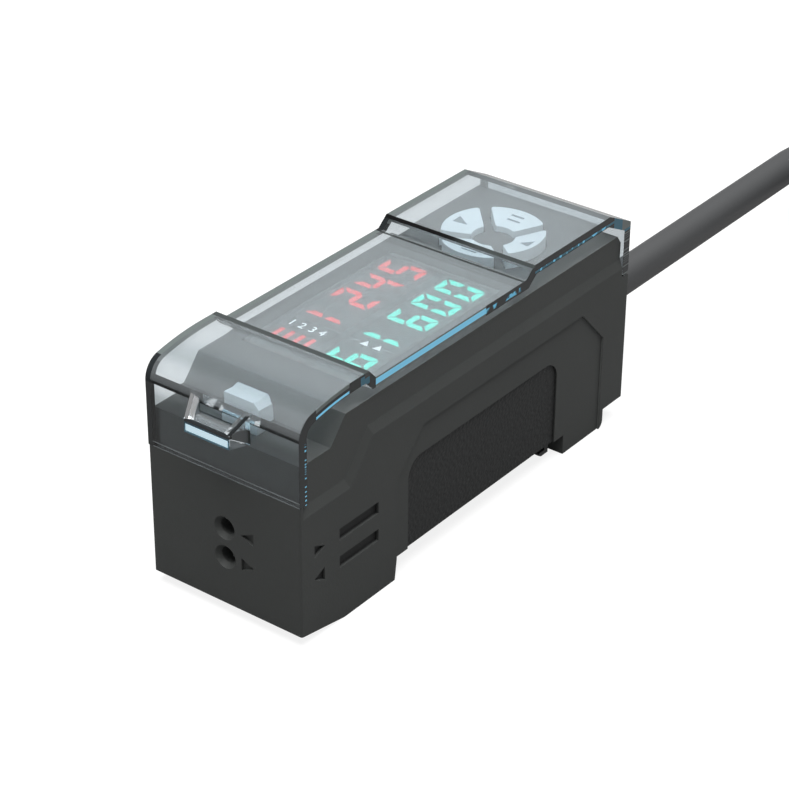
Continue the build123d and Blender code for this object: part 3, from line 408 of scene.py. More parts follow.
def mouldedPlastic(name, colour, shade, grain, roughness, strength=0.25, gloss=0.5, glow=0.0):
    # Moulded plastic: two near shades in a slow noise of about 8 mm, and a relief from the mould's grain
    material, tree, shader = newMaterial(name)
    place = addNode(tree, "ShaderNodeTexCoord").outputs["Object"]
    slow = addNode(tree, "ShaderNodeTexNoise",
                   {"Scale": mouldWork["slowPerMetre"], "Detail": mouldWork["slowDetail"]}, {"Vector": place})
    tone = blend(tree, slow.outputs["Fac"], shade, colour)
    relief = addRelief(tree, shader, place,
                       {"perMetre": 1 / (grain * mm), "detail": mouldWork["grainDetail"], "strength": strength,
                        "depth": grain * mouldWork["grainDepth"]})
    setShader(shader, Roughness=roughness, Specular_IOR_Level=gloss)
    if glow:
        setShader(shader, Emission_Color=linear(colour), Emission_Strength=glow)
    tree.links.new(tone, shader.inputs["Base Color"])
    return material, tree, shader, place, tone, relief


def besideMiddle(tree, place):
    # How far a point lies from the middle plane, its place along Y and its height
    split = addNode(tree, "ShaderNodeSeparateXYZ", links={"Vector": place})
    x = addNode(tree, "ShaderNodeMath", {"operation": "ABSOLUTE"}, {0: split.outputs["X"]})
    return x.outputs[0], split.outputs["Y"], split.outputs["Z"]


def lowerCasePlastic(work):
    # The same ABS, with a coarser, darker texture in the side panels, painted shade on the vent floors, dark paint in
    # the arrows and painted highlights on the steps round the side recess
    material, tree, shader, place, tone, relief = mouldedPlastic(
        "ABS, dark grey, spark eroded, lower half", work["colour"], work["shade"], work["grain"], work["roughness"],
        gloss=work["gloss"])
    x, y, z = besideMiddle(tree, place)
    panel = allOf(tree, inRange(tree, x, *work["panelFloor"]), inRange(tree, y, *work["panelY"], frontFace),
                  inRange(tree, z, -farOff, work["panelTop"]))
    ventShadeAndArrowFill = allOf(tree, inRange(tree, x, *work["slotFloor"]), inRange(tree, y, *work["slotY"], frontFace),
                  inRange(tree, z, *work["slotZ"]))
    steps = allOf(tree, inRange(tree, x, *work["stepX"]), inRange(tree, y, *work["stepY"], frontFace),
                  inRange(tree, z, *work["stepZ"]))
    # Painted shade on the vent floors; the side panel and the arrows' fill keep their own dark colour
    colour = paint(tree, tone, anyOf(tree, panel, ventShadeAndArrowFill), work["panelColourAndSlotShade"])
    # Painted highlight on the steps round the side recess, against their shade
    tree.links.new(paint(tree, colour, steps, work["stepHighlight"]), shader.inputs["Base Color"])
    coarse = addNode(tree, "ShaderNodeTexVoronoi", {"Scale": 1 / (work["panelGrain"] * mm)}, {"Vector": place})
    lift = addNode(tree, "ShaderNodeMath", {"operation": "MULTIPLY"}, {0: coarse.outputs["Distance"], 1: panel})
    bump = addNode(tree, "ShaderNodeBump", {"Strength": work["panelStrength"],
                                            "Distance": work["panelGrain"] * work["panelDepth"] * mm},
                   {"Height": lift.outputs[0], "Normal": relief})
    tree.links.new(bump.outputs["Normal"], shader.inputs["Normal"])
    return material


def upperCasePlastic(work):
    # Lit and shaded copies of one ABS: the upper half's deck is painted a shade lighter, and its sides and its front
    # slope get painted shade, as they stand in the light's lee
    material, tree, shader, place, tone = mouldedPlastic(
        "ABS, dark grey, spark eroded, upper half", work["upperDeckLitColour"], work["upperShade"], work["grain"],
        work["upperRoughness"], gloss=work["gloss"])[:5]
    x, y, z = besideMiddle(tree, place)
    lee = anyOf(tree, inRange(tree, x, work["upperSideX"], farOff),
                inRange(tree, y, -farOff, work["slopeEnd"], frontFace))
    side = allOf(tree, lee, inRange(tree, z, 0.0, work["upperSideZ"]))
    # Painted shade on the sides and the front slope
    tree.links.new(paint(tree, tone, side, work["upperSidePaintedShade"]), shader.inputs["Base Color"])
    return material


# Clear cover: injection moulded polycarbonate. Its faces are polished and slightly hazed with fine wear, so they
# pass most light and turn a pale veil to it, which is partly a painted reflection. Its edges carry painted reflections
# and painted glow for the light the whole sheet gathers: dark where they mirror the case, sky blue where the tint
# shows
coverWork = {
    "haze": "#e3ebef",
    "crownPaintedVeil": "#c9d3d7",  # painted veil, darker where the sheet bends down over the ports and is seen at a flatter angle
    "crownRamp": (1.6, 3.0),
    "crownFade": (4.0, 7.5),
    "frontPaintedVeil": "#b6bfc2",  # painted veil, darker over the upright front plate
    "frontRamp": (27.0, 28.3),
    "speckPerMetre": 900.0,  # flecks of wear about 1 mm wide
    "fleck": (0.94, 1.06),
    "roughness": 0.005,
    "refraction": 1.49,  # matched to how far the sheet shifts the keys and digits under it
    "clear": 0.9,  # share of the light that each face passes on
    "frontClear": 0.99,
    "frontPart": ((-0.3, 1.6), (0.0, 29.5)),  # the upright front of the sheet: its run along Y and its height
    "rimClear": 0.2,
    "lineClear": 0.6,
    "edge": 11.95,  # mm from the middle, the sheet's side edges
    "edgeDarkReflection": "#1c2022",
    "edgeGreyReflection": "#666e6d",
    "lineGreyShade": "#3a3f3f",
    "lineDarkShade": "#060707",
    "edgeBlueGlow": "#74d4fb",
    "edgeTealReflection": "#33687d",
    "glowColour": "#b9e6fb",  # painted glow, for the light gathered in the edges
    "edgeGlow": 0.1,
    "tabGlow": 0.3,
    "blueY": (14.5, 37.0),
    "blueZ": (30.45, 31.28),
    "brokenStretch": (0.0, 1.0, 0.6),  # the broken lights run straight across the sheet's thickness
    "brokenPerMetre": 900.0,
    "dotsPerMetre": 3200.0,
    "middleRun": ((36.9, 45.2), (30.4, 31.0)),  # places of the broken lights along Y and in height
    "rearRun": ((47.8, 66.3), (31.62, 31.95)),
    "rearBend": ((66.3, 71.0), (29.2, 33.0)),
    "rearFall": ((68.9, 71.0), (22.0, 29.2)),
    "brokenBlue": 0.58,  # of the noise
    "brokenTeal": 0.5,
    "dotsY": (1.0, 1.3),
    "dotsZ": (20.0, 28.5),
    "dotLevel": 0.56,
    "crownCentre": (10.65, -6.9),  # of the shallow arc, across Y and Z
    "crownLine": (38.5, 38.85),  # mm from that centre, the painted blue glow line along the crown's edge
    "crownLineY": (3.2, 9.4),
    "crownTop": (39.3, 39.9),
    "noseCentre": (3.0, 29.1),
    "noseTurn": 12.0,  # degrees from upright, where the nose's arc meets the crown's
    "noseShare": 0.25,  # how far the tight bend turns the view, so that the lock button behind it shows whole
    "noseFacing": 0.35,  # leaves the sheet's side edges and the tab's walls alone
    "bendsStart": -0.1,
    "stepPatch": ((11.6, 13.3), (31.3, 32.6)),
    "noseY": 2.2,
    "stepY": (45.2, 47.8),
    "leftRim": -11.2,  # painted grey reflection: the sheet is painted grey towards this side over its last millimetre
    "rearRim": (68.4, 29.6),
    "rearStepLine": ((47.1, 47.75), (32.6, 32.95)),
    "rearStepFoot": ((45.05, 45.5), (31.4, 31.62)),
    "slopePart": ((45.9, 47.3), (29.6, 32.7)),  # the rear step's slope leans to the dark and carries no painted veil
    "slopeClear": 0.98,
    "footClear": 0.4,
    "stepShadeX": (-1.5, 3.0),  # the painted shade line at the top of the rear step is black up to here, then grey
    "frontStepLine": ((12.35, 13.4), (32.2, 32.95)),
    "gussetSlope": 0.825,  # of the finger tab's two upright walls, from the shelf's top at its front
    "gussetStart": (-2.6, 28.1),
    "gussetRun": (-2.5, -0.1),
    "gussetLine": 0.16,
    "tabFront": -2.55,
    "tabHighlight": "#e4f6fc",
    "tabHighlightX": (-3.3, 3.3),
    "tabHighlightZ": (26.55, 27.5),
    "tabLineY": -2.2,
    "tabLineZ": (27.75, 28.12),
    "lowerLines": ((20.0, 20.22), (20.72, 20.86)),
    "lowerLinesY": (-0.3, 0.05),
}


def fromCentre(tree, y, z, centre):
    # From a bend's centre to a point: its run along Y, its rise, and both as one arrow
    across = addNode(tree, "ShaderNodeMath", {"operation": "SUBTRACT", 1: (centre[0] - frontFace) * mm}, {0: y})
    rise = addNode(tree, "ShaderNodeMath", {"operation": "SUBTRACT", 1: centre[1] * mm}, {0: z})
    reach = addNode(tree, "ShaderNodeCombineXYZ", links={"Y": across.outputs[0], "Z": rise.outputs[0]})
    return across.outputs[0], rise.outputs[0], reach.outputs[0]


def roundedNormal(tree, y, z, bends, work):
    # The two bends as true arcs, so that the mesh's facets don't break up what is seen through them
    geometry = addNode(tree, "ShaderNodeNewGeometry")
    crownReach = fromCentre(tree, y, z, work["crownCentre"])[2]
    crownOut = addNode(tree, "ShaderNodeVectorMath", {"operation": "NORMALIZE"}, {0: crownReach})
    across, rise, noseReach = fromCentre(tree, y, z, work["noseCentre"])
    noseOut = addNode(tree, "ShaderNodeVectorMath", {"operation": "NORMALIZE"}, {0: noseReach})
    turn = math.tan(math.radians(work["noseTurn"]))
    past = addNode(tree, "ShaderNodeMath", {"operation": "MULTIPLY_ADD", 1: turn}, {0: rise, 2: across})
    onNose = addNode(tree, "ShaderNodeMath", {"operation": "LESS_THAN", 1: 0.0}, {0: past.outputs[0]})
    share = addNode(tree, "ShaderNodeMath", {"operation": "MULTIPLY", 1: work["noseShare"]}, {0: onNose.outputs[0]})
    leaning = addNode(tree, "ShaderNodeMix", {"data_type": "VECTOR"},
                      {"Factor": share.outputs[0], vectorA: crownOut.outputs[0], vectorB: noseOut.outputs[0]})
    outward = addNode(tree, "ShaderNodeVectorMath", {"operation": "NORMALIZE"}, {0: leaning.outputs[vectorOut]})
    inWorld = addNode(tree, "ShaderNodeVectorTransform",
                      {"vector_type": "NORMAL", "convert_from": "OBJECT", "convert_to": "WORLD"},
                      {"Vector": outward.outputs[0]})
    facing = addNode(tree, "ShaderNodeVectorMath", {"operation": "DOT_PRODUCT"},
                     {0: inWorld.outputs[0], 1: geometry.outputs["Normal"]}).outputs["Value"]
    sign = addNode(tree, "ShaderNodeMath", {"operation": "SIGN"}, {0: facing})
    turned = addNode(tree, "ShaderNodeVectorMath", {"operation": "SCALE"},
                     {0: inWorld.outputs[0], "Scale": sign.outputs[0]})
    size = addNode(tree, "ShaderNodeMath", {"operation": "ABSOLUTE"}, {0: facing})
    near = addNode(tree, "ShaderNodeMath", {"operation": "GREATER_THAN", 1: work["noseFacing"]}, {0: size.outputs[0]})
    mixed = addNode(tree, "ShaderNodeMix", {"data_type": "VECTOR"},
                    {"Factor": allOf(tree, bends, near.outputs[0]), vectorA: geometry.outputs["Normal"],
                     vectorB: turned.outputs[0]})
    return mixed.outputs[vectorOut]


def clearPlastic(work):
    material, tree, shader = newMaterial("polycarbonate, clear, polished mould")
    place = addNode(tree, "ShaderNodeTexCoord").outputs["Object"]
    split = addNode(tree, "ShaderNodeSeparateXYZ", links={"Vector": place})
    x, y, z = (split.outputs[axis] for axis in "XYZ")

    def inX(low, high):
        return inRange(tree, x, low, high)

    def inY(low, high):
        return inRange(tree, y, low, high, frontFace)

    def inZ(low, high):
        return inRange(tree, z, low, high)

    def inBox(yRange, zRange):
        return allOf(tree, inY(*yRange), inZ(*zRange))

    def rampAlong(value, start, end, zero=0.0):
        ramp = addNode(tree, "ShaderNodeMapRange", {"From Min": (start - zero) * mm, "From Max": (end - zero) * mm},
                       {"Value": value})
        return ramp.outputs["Result"]

    # A pale tint with fine wear, which also serves as a painted reflection veil, painted deeper over the ports and
    # over the upright front
    crown = allOf(tree, rampAlong(y, *work["crownRamp"], frontFace),
                  rampAlong(y, *reversed(work["crownFade"]), frontFace))
    front = allOf(tree, rampAlong(z, *reversed(work["frontRamp"])), inY(*work["frontPart"][0]))
    hazeAndPaintedVeil = paint(tree, blend(tree, crown, work["haze"], work["crownPaintedVeil"]), front, work["frontPaintedVeil"])
    speck = addNode(tree, "ShaderNodeTexNoise", {"Scale": work["speckPerMetre"], "Detail": 3.0}, {"Vector": place})
    palest, deepest = work["fleck"]
    fleck = addNode(tree, "ShaderNodeMapRange", {"To Min": palest, "To Max": deepest}, {"Value": speck.outputs["Fac"]})
    fleckedHazeAndVeil = addNode(tree, "ShaderNodeMix", {"data_type": "RGBA", "blend_type": "MULTIPLY", "Factor": 1.0},
                    {colourA: hazeAndPaintedVeil, colourB: fleck.outputs["Result"]})
    colour = fleckedHazeAndVeil.outputs[colourOut]

    # The right edge: painted dark reflection, with broken painted lights from a noise stretched across it, and painted
    # blue glow along the displays
    stretch = addNode(tree, "ShaderNodeMapping", {"Scale": work["brokenStretch"]}, {"Vector": place})
    broken = addNode(tree, "ShaderNodeTexNoise", {"Scale": work["brokenPerMetre"], "Detail": 1.0},
                     {"Vector": stretch.outputs["Vector"]})
    upright = addNode(tree, "ShaderNodeMapping", {"Scale": (0.0, 0.0, 1.0)}, {"Vector": place})
    dots = addNode(tree, "ShaderNodeTexNoise", {"Scale": work["dotsPerMetre"], "Detail": 0.0},
                   {"Vector": upright.outputs["Vector"]})
    bits = []
    for noise, level in ((broken, "brokenBlue"), (broken, "brokenTeal"), (dots, "dotLevel")):
        bit = addNode(tree, "ShaderNodeMath", {"operation": "GREATER_THAN", 1: work[level]}, {0: noise.outputs["Fac"]})
        bits.append(bit.outputs[0])
    blueBits, tealBits, lightBits = bits
    crownReach = fromCentre(tree, y, z, work["crownCentre"])[2]
    radius = addNode(tree, "ShaderNodeVectorMath", {"operation": "LENGTH"}, {0: crownReach}).outputs["Value"]
    right = inX(work["edge"], farOff)
    left = inX(-farOff, -work["edge"])
    middleRun, rearRun, rearBend, rearFall = (
        allOf(tree, right, inBox(*work[key])) for key in ("middleRun", "rearRun", "rearBend", "rearFall"))
    displayEdge = allOf(tree, right, inBox(work["blueY"], work["blueZ"]))
    dotted = allOf(tree, right, inBox(work["dotsY"], work["dotsZ"]), lightBits)
    crownEdge = allOf(tree, right, inY(*work["crownLineY"]))
    crownLine, crownTop = (
        allOf(tree, crownEdge, inRange(tree, radius, *work[key])) for key in ("crownLine", "crownTop"))
    blue = anyOf(tree, displayEdge, dotted, crownLine)
    for mask, name in (
            (right, "edgeDarkReflection"),
            (anyOf(tree, allOf(tree, middleRun, tealBits), rearRun, rearBend), "edgeTealReflection"),
            (allOf(tree, anyOf(tree, middleRun, rearRun), blueBits), "edgeBlueGlow"),
            (allOf(tree, rearFall, lightBits), "edgeGreyReflection"),
            (allOf(tree, right, inY(*work["blueY"])), "edgeGreyReflection"),
            (crownTop, "edgeGreyReflection"),
            (allOf(tree, right, inY(*work["stepY"])), "edgeDarkReflection"),
            (allOf(tree, right, inBox(*work["stepPatch"])), "edgeTealReflection"),
            (blue, "edgeBlueGlow")):
        colour = paint(tree, colour, mask, work[name])

    # Painted grey reflections on the left and rear rims, painted dark reflection on the left edge, and painted shade
    # lines where the sheet steps
    leftRim = inX(-farOff, work["leftRim"])
    rearY, rearZ = work["rearRim"]
    rim = anyOf(tree, leftRim, inBox((rearY, farOff), (rearZ, farOff)))
    darkLeft = allOf(tree, leftRim, anyOf(tree, inY(-farOff, work["noseY"]), inY(*work["stepY"])))
    stepLine = inBox(*work["rearStepLine"])
    footLine = allOf(tree, inBox(*work["rearStepFoot"]), inX(work["leftRim"], work["edge"]))
    frontLine = inBox(*work["frontStepLine"])
    darkSide = rampAlong(x, *reversed(work["stepShadeX"]))
    lines = allOf(tree, inY(*work["lowerLinesY"]), anyOf(tree, *(inZ(*line) for line in work["lowerLines"])))

    # The finger tab: painted teal reflection and a painted highlight on its front, and painted dark lines along the
    # sloping top edges of its two upright walls
    tabFront = inY(-farOff, work["tabFront"])
    tabHighlight = allOf(tree, tabFront, inZ(*work["tabHighlightZ"]), inX(*work["tabHighlightX"]))
    tabLine = inBox((-farOff, work["tabLineY"]), work["tabLineZ"])
    startY, startZ = work["gussetStart"]
    slope = work["gussetSlope"]
    fall = addNode(tree, "ShaderNodeMath",
                   {"operation": "MULTIPLY_ADD", 1: -slope, 2: (startY - frontFace) * slope * mm}, {0: y})
    height = addNode(tree, "ShaderNodeMath", {"operation": "ADD"}, {0: z, 1: fall.outputs[0]}).outputs[0]
    gusset = allOf(tree, inRange(tree, height, startZ - work["gussetLine"], startZ + work["gussetLine"]),
                   inY(*work["gussetRun"]))
    for mask, name in (
            (rim, "edgeGreyReflection"),
            (darkLeft, "edgeDarkReflection"),
            (anyOf(tree, stepLine, frontLine, footLine), "lineGreyShade"),
            (allOf(tree, stepLine, darkSide), "lineDarkShade"),
            (tabFront, "edgeTealReflection"),
            (tabHighlight, "tabHighlight"),
            (anyOf(tree, tabLine, gusset), "edgeDarkReflection")):
        colour = paint(tree, colour, mask, work[name])

    # How much light each part passes on
    passed = addNode(tree, "ShaderNodeValue").outputs[0]
    passed.default_value = work["clear"]
    solid = anyOf(tree, right, left, darkLeft, tabHighlight, tabLine, stepLine, frontLine, gusset)
    for mask, share in (
            (inBox(*work["frontPart"]), work["frontClear"]),
            (inBox(*work["slopePart"]), work["slopeClear"]),
            (anyOf(tree, lines, tabFront), work["lineClear"]),
            (footLine, work["footClear"]),
            (rim, work["rimClear"]),
            (solid, 0.0)):
        passed = addNode(tree, "ShaderNodeMapRange", {"To Max": share}, {"Value": mask, "To Min": passed}).outputs[0]
    # Painted glow in the blue edge marks and on the tab's painted highlight
    blueGlow = addNode(tree, "ShaderNodeMath", {"operation": "MULTIPLY", 1: work["edgeGlow"]}, {0: blue})
    glow = addNode(tree, "ShaderNodeMath", {"operation": "MULTIPLY_ADD", 1: work["tabGlow"]},
                   {0: tabHighlight, 2: blueGlow.outputs[0]})
    bends = inBox((work["bendsStart"], work["crownCentre"][0]), (work["noseCentre"][1], farOff))
    tree.links.new(colour, shader.inputs["Base Color"])
    tree.links.new(passed, shader.inputs["Transmission Weight"])
    tree.links.new(glow.outputs[0], shader.inputs["Emission Strength"])
    tree.links.new(roundedNormal(tree, y, z, bends, work), shader.inputs["Normal"])
    setShader(shader, Roughness=work["roughness"], IOR=work["refraction"], Emission_Color=linear(work["glowColour"]))
    return material


# The other materials' settings
windowWork = {"light": "#c0c4c3", "dark": "#b9bdbc", "speckPerMetre": 900.0, "clear": 0.7, "roughness": 0.01,
              "refraction": 1.49}
glowWork = {"perMetre": 700.0, "dim": 0.92, "bright": 1.08, "roughness": 0.5}
jacketWork = {"colour": "#414243", "roughness": 0.4, "stretch": (1.0, 0.06, 1.0),
              "marks": {"perMetre": 1800.0, "detail": 2.0, "strength": 0.12, "depth": 0.05}}
boardWork = {"resist": ("#0f4a2c", "#12532f"), "tracks": "#2b7a4a", "perMetre": 320.0, "trackShare": 0.05,
             "roughness": 0.35}
lensWork = {"colour": "#f4f7f8", "refraction": 1.49, "roughness": 0.02,
            "ripple": {"perMetre": 300.0, "detail": 2.0, "strength": 0.01, "depth": 0.02}}


def smokedWindow(work):
    # Smoked acrylic pane over the lit digits: thin, so it only dims and greys what lies under it
    material, tree, shader = newMaterial("acrylic, smoked, polished")
    place = addNode(tree, "ShaderNodeTexCoord").outputs["Object"]
    speck = addNode(tree, "ShaderNodeTexNoise", {"Scale": work["speckPerMetre"], "Detail": 3.0}, {"Vector": place})
    tree.links.new(blend(tree, speck.outputs["Fac"], work["dark"], work["light"]), shader.inputs["Base Color"])
    setShader(shader, Roughness=work["roughness"], IOR=work["refraction"], Transmission_Weight=work["clear"])
    return material


def litPlastic(name, body, glowColour, strength):
    # A dyed light bar with a lamp behind it, its glow a little uneven
    material, tree, shader = newMaterial(name)
    place = addNode(tree, "ShaderNodeTexCoord").outputs["Object"]
    noise = addNode(tree, "ShaderNodeTexNoise", {"Scale": glowWork["perMetre"], "Detail": 1.0}, {"Vector": place})
    glow = addNode(tree, "ShaderNodeMapRange", {"To Min": glowWork["dim"], "To Max": glowWork["bright"]},
                   {"Value": noise.outputs["Fac"]})
    level = addNode(tree, "ShaderNodeMath", {"operation": "MULTIPLY", 1: strength}, {0: glow.outputs["Result"]})
    setShader(shader, Base_Color=linear(body), Roughness=glowWork["roughness"], Emission_Color=linear(glowColour))
    tree.links.new(level.outputs[0], shader.inputs["Emission Strength"])
    return material


def jacketPlastic(work):
    # PVC cable jacket: extruded, satin, with faint drawing marks along its length
    material, tree, shader = newMaterial("PVC jacket, dark grey, extruded")
    coords = addNode(tree, "ShaderNodeTexCoord")
    stretch = addNode(tree, "ShaderNodeMapping", {"Scale": work["stretch"]}, {"Vector": coords.outputs["Object"]})
    addRelief(tree, shader, stretch.outputs["Vector"], work["marks"])
    setShader(shader, Base_Color=linear(work["colour"]), Roughness=work["roughness"])
    return material


def circuitBoard(work):
    # Glass epoxy board under green solder resist, with tracks as a faint grid
    material, tree, shader = newMaterial("glass epoxy, green solder resist")
    place = addNode(tree, "ShaderNodeTexCoord").outputs["Object"]
    first, second = (linear(colour) for colour in work["resist"])
    tracks = addNode(tree, "ShaderNodeTexBrick",
                     {"Scale": work["perMetre"], "Mortar Size": work["trackShare"], "Color1": first, "Color2": second,
                      "Mortar": linear(work["tracks"])}, {"Vector": place})
    tree.links.new(tracks.outputs["Color"], shader.inputs["Base Color"])
    setShader(shader, Roughness=work["roughness"])
    return material


def lensGlass(work):
    # Moulded acrylic lens: clear and polished, with the mould's slight unevenness
    material, tree, shader = newMaterial("optical acrylic, clear")
    addRelief(tree, shader, addNode(tree, "ShaderNodeTexCoord").outputs["Object"], work["ripple"])
    setShader(shader, Base_Color=linear(work["colour"]), Transmission_Weight=1.0, IOR=work["refraction"],
              Roughness=work["roughness"])
    return material


lowerPlastic = lowerCasePlastic(caseWork)
upperPlastic = upperCasePlastic(caseWork)
blockPlastic = mouldedPlastic("ABS, dark grey, spark eroded, front", caseWork["colour"], caseWork["shade"],
                              caseWork["grain"], caseWork["roughness"], gloss=caseWork["gloss"])[0]
clipPlastic = mouldedPlastic("polyacetal, dark grey, moulded", "#303131", "#2b2c2c", grain=0.3, roughness=0.5)[0]
whitePlastic = mouldedPlastic("ABS, white, satin mould", "#eef4f7", "#e8f0f4", grain=0.3, roughness=0.4,
                              strength=0.1)[0]
blackPlastic = mouldedPlastic("polyamide, black, moulded", "#141515", "#101111", grain=0.25, roughness=0.5)[0]
chipPlastic = mouldedPlastic("epoxy moulding compound, black", "#1b1b1c", "#161617", grain=0.2, roughness=0.6)[0]
reliefRubber = mouldedPlastic("soft PVC, dark grey, moulded", "#2c2d2e", "#262728", grain=0.3, roughness=0.5)[0]
lampWhite = mouldedPlastic("lamp package, white", "#e9e9e4", "#dedfd9", grain=0.2, roughness=0.4)[0]
# The white print has a painted glow, standing for the light of the displays under it
printWhite = mouldedPlastic("screen print, white", "#f4f8f8", "#eef2f2", grain=0.2, roughness=0.5, strength=0.05,
                            glow=0.35)[0]
printGrey = mouldedPlastic("pad print, grey", "#8d979b", "#848e92", grain=0.2, roughness=0.5, strength=0.05)[0]
cableJacket = jacketPlastic(jacketWork)
boardGreen = circuitBoard(boardWork)
opticClear = lensGlass(lensWork)
coverClear = clearPlastic(coverWork)
windowSmoked = smokedWindow(windowWork)
redGlow = litPlastic("light pipe, red", "#8c1c20", "#ff3038", strength=4.6)
cyanGlow = litPlastic("light pipe, cyan", "#0f6a5c", "#18ffe2", strength=4.9)
print("materials ready")

nodeMaterials = {
    "lower_case": lowerPlastic,
    "upper_case": upperPlastic,
    "fibre_block": blockPlastic,
    "lock_button": whitePlastic,
    "lock_slide": springSteel,
    "dust_cover": coverClear,
    "hinge_pin": springSteel,
    "display_window": windowSmoked,
    "output_display": blackPlastic,
    "channel_display": blackPlastic,
    "red_display": blackPlastic,
    "cyan_display": blackPlastic,
    "output_bars": redGlow,
    "display_board": boardGreen,
    "main_board": boardGreen,
    "sensor_board": boardGreen,
    "sensor_header": blackPlastic,
    "emitter_lens": opticClear,
    "receiver_lens": opticClear,
    "colour_lamp": lampWhite,
    "light_receiver": chipPlastic,
    "lower_connector": blackPlastic,
    "upper_connector": blackPlastic,
    "connector_pins": goldPins,
    "processor": chipPlastic,
    "capacitors": aluminiumCan,
    "inductor": chipPlastic,
    "output_transistors": chipPlastic,
    "rail_clip": clipPlastic,
    "clip_spring": springSteel,
    "cable_relief": reliefRubber,
    "cable_entry": cableJacket,
    "cable_tie": blackPlastic,
    "cable_cores": coreMaterial("core PVC, inside", "Brown", coreWork),
}
for screws in ("block_screws", "display_board_screws", "main_board_screws", "sensor_board_screws"):
    nodeMaterials[screws] = springSteel
for side in ("left", "right", "front", "rear"):
    nodeMaterials[side + "_key"] = whitePlastic
    nodeMaterials[side + "_switch"] = blackPlastic
    nodeMaterials[side + "_plunger"] = whitePlastic
for name, material in nodeMaterials.items():
    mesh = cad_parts[name].data
    mesh.materials.clear()
    mesh.materials.append(material)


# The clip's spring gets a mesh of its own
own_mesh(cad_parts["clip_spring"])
print("nodes dressed")


# Cable and cores join the frame
cable.data.materials.append(cableJacket)
cores = makeCores(coreWork)
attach(cable, "case")
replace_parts(cable, "cable", "cable_hank", "cable_tail")
for core in cores:
    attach(core, "case")
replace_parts(cores[0], "cable_leads")


# Lit segments: the digits shown in the photograph, in the module's own seven places
digitWork = {
    "height": 6.1,
    "width": 3.2,
    "segment": 0.74,
    "mitre": 0.29,
    "top": 28.13,
    "thickness": 0.13,
    "lastY": 41.75,
    "pitch": 4.95,
    "redTop": -7.86,
    "cyanTop": 1.34,
    "channelY": 19.45,
}
# Which of a digit's bars are lit: top, middle, bottom, upper left, upper right, lower left, lower right
litBars = {
    "0": "1011111",
    "1": "0001010",
    "2": "1110110",
    "4": "0101101",
    "5": "1111001",
    "6": "1111011",
}


def addDigit(bm, symbol, topX, middleY, work):
    # Seven bars with mitred ends, drawn down the digit's height and across its width
    tall, wide, bar, gap = (work[key] for key in ("height", "width", "segment", "mitre"))
    half = tall / 2
    top = [(0, gap), (0, wide - gap), (bar, wide - bar - gap), (bar, bar + gap)]
    near, far = bar / 2 + gap, wide - bar / 2 - gap
    middle = [(half, gap), (half - bar / 2, near), (half - bar / 2, far), (half, wide - gap), (half + bar / 2, far),
              (half + bar / 2, near)]
    upper = [(gap, 0), (half - gap, 0), (half - bar / 2 - gap, bar), (bar + gap, bar)]
    outlines = [
        top,
        middle,
        [(tall - down, out) for down, out in top],
        upper,
        [(down, wide - out) for down, out in upper],
        [(tall - down, out) for down, out in upper],
        [(tall - down, wide - out) for down, out in upper],
    ]
    firstY = middleY - wide / 2
    for outline, state in zip(outlines, litBars[symbol]):
        if state == "1":
            flatShape(bm, [(topX + down, firstY + out) for down, out in outline], work["top"] - work["thickness"],
                      work["thickness"])


def makeDigits(name, text, topX, lastY, material, node, work):
    bm = bmesh.new()
    for number, symbol in enumerate(reversed(text)):
        addDigit(bm, symbol, topX, lastY - number * work["pitch"], work)
    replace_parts(meshPiece(name, bm, material, "case"), node)


makeDigits("redDigits", "1245", digitWork["redTop"], digitWork["lastY"], redGlow, "red_segments",
           digitWork)
makeDigits("cyanDigits", "1600", digitWork["cyanTop"], digitWork["lastY"], cyanGlow, "cyan_segments",
           digitWork)
makeDigits("channelDigit", "6", digitWork["cyanTop"], digitWork["channelY"], cyanGlow,
           "channel_segments", digitWork)
print("digits lit")


# Printed marks
markWork = {
    "thickness": 0.03,
    "windowTop": 28.7,
    "numberSize": 1.9,
    "numberY": 21.0,
    "numberX": (-6.8, -5.2, -3.5, -2.0),
    "channelMark": (4.8, 23.0),  # middle of the two triangles by the channel digit
    "channelSigns": (-1.0, 1.0),  # how far each stands beside it
    "signHalf": 0.6,
    "signRun": (-0.5, 0.6),
    "keyRim": 30.3,
    "keyHub": 29.45,
    "keyOuter": 7.0,
    "keyInner": 2.95,
    "keypadY": 55.4,
    "labelRadius": 5.2,
    "arrowHalf": 0.9,  # of the triangles on the left and right keys
    "rearHalf": 1.0,
    "rearBars": ((-0.7, -0.4), (0.3, 0.6)),
    "frontHalf": 1.2,
    "frontBars": ((-0.2, 0.15),),
}


def windowMarks(work):
    # Plain numbers over the four output bars, and two plain triangles by the channel digit
    for number, x in enumerate(work["numberX"], 1):
        data = bpy.data.curves.new("outputNumber" + str(number), "FONT")
        data.body = str(number)
        data.size = work["numberSize"] * mm
        data.align_x = "CENTER"
        data.extrude = work["thickness"] * mm / 2
        source = bpy.data.objects.new("outputText" + str(number), data)
        mesh = bpy.data.meshes.new_from_object(source)
        bpy.data.objects.remove(source)
        mesh.transform(Matrix.Translation(inFrame(x, work["numberY"], work["windowTop"])))
        mesh.materials.clear()
        mesh.materials.append(printWhite)
        piece = bpy.data.objects.new("outputNumber" + str(number), mesh)
        bpy.context.scene.collection.objects.link(piece)
        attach(piece, "case")
    bm = bmesh.new()
    x, y = work["channelMark"]
    half = work["signHalf"]
    near, far = (y + share for share in work["signRun"])
    for shift in work["channelSigns"]:
        flatShape(bm, [(x + shift - half, near), (x + shift + half, near), (x + shift, far)], work["windowTop"],
                  work["thickness"])
    meshPiece("channelMarks", bm, printWhite, "case")


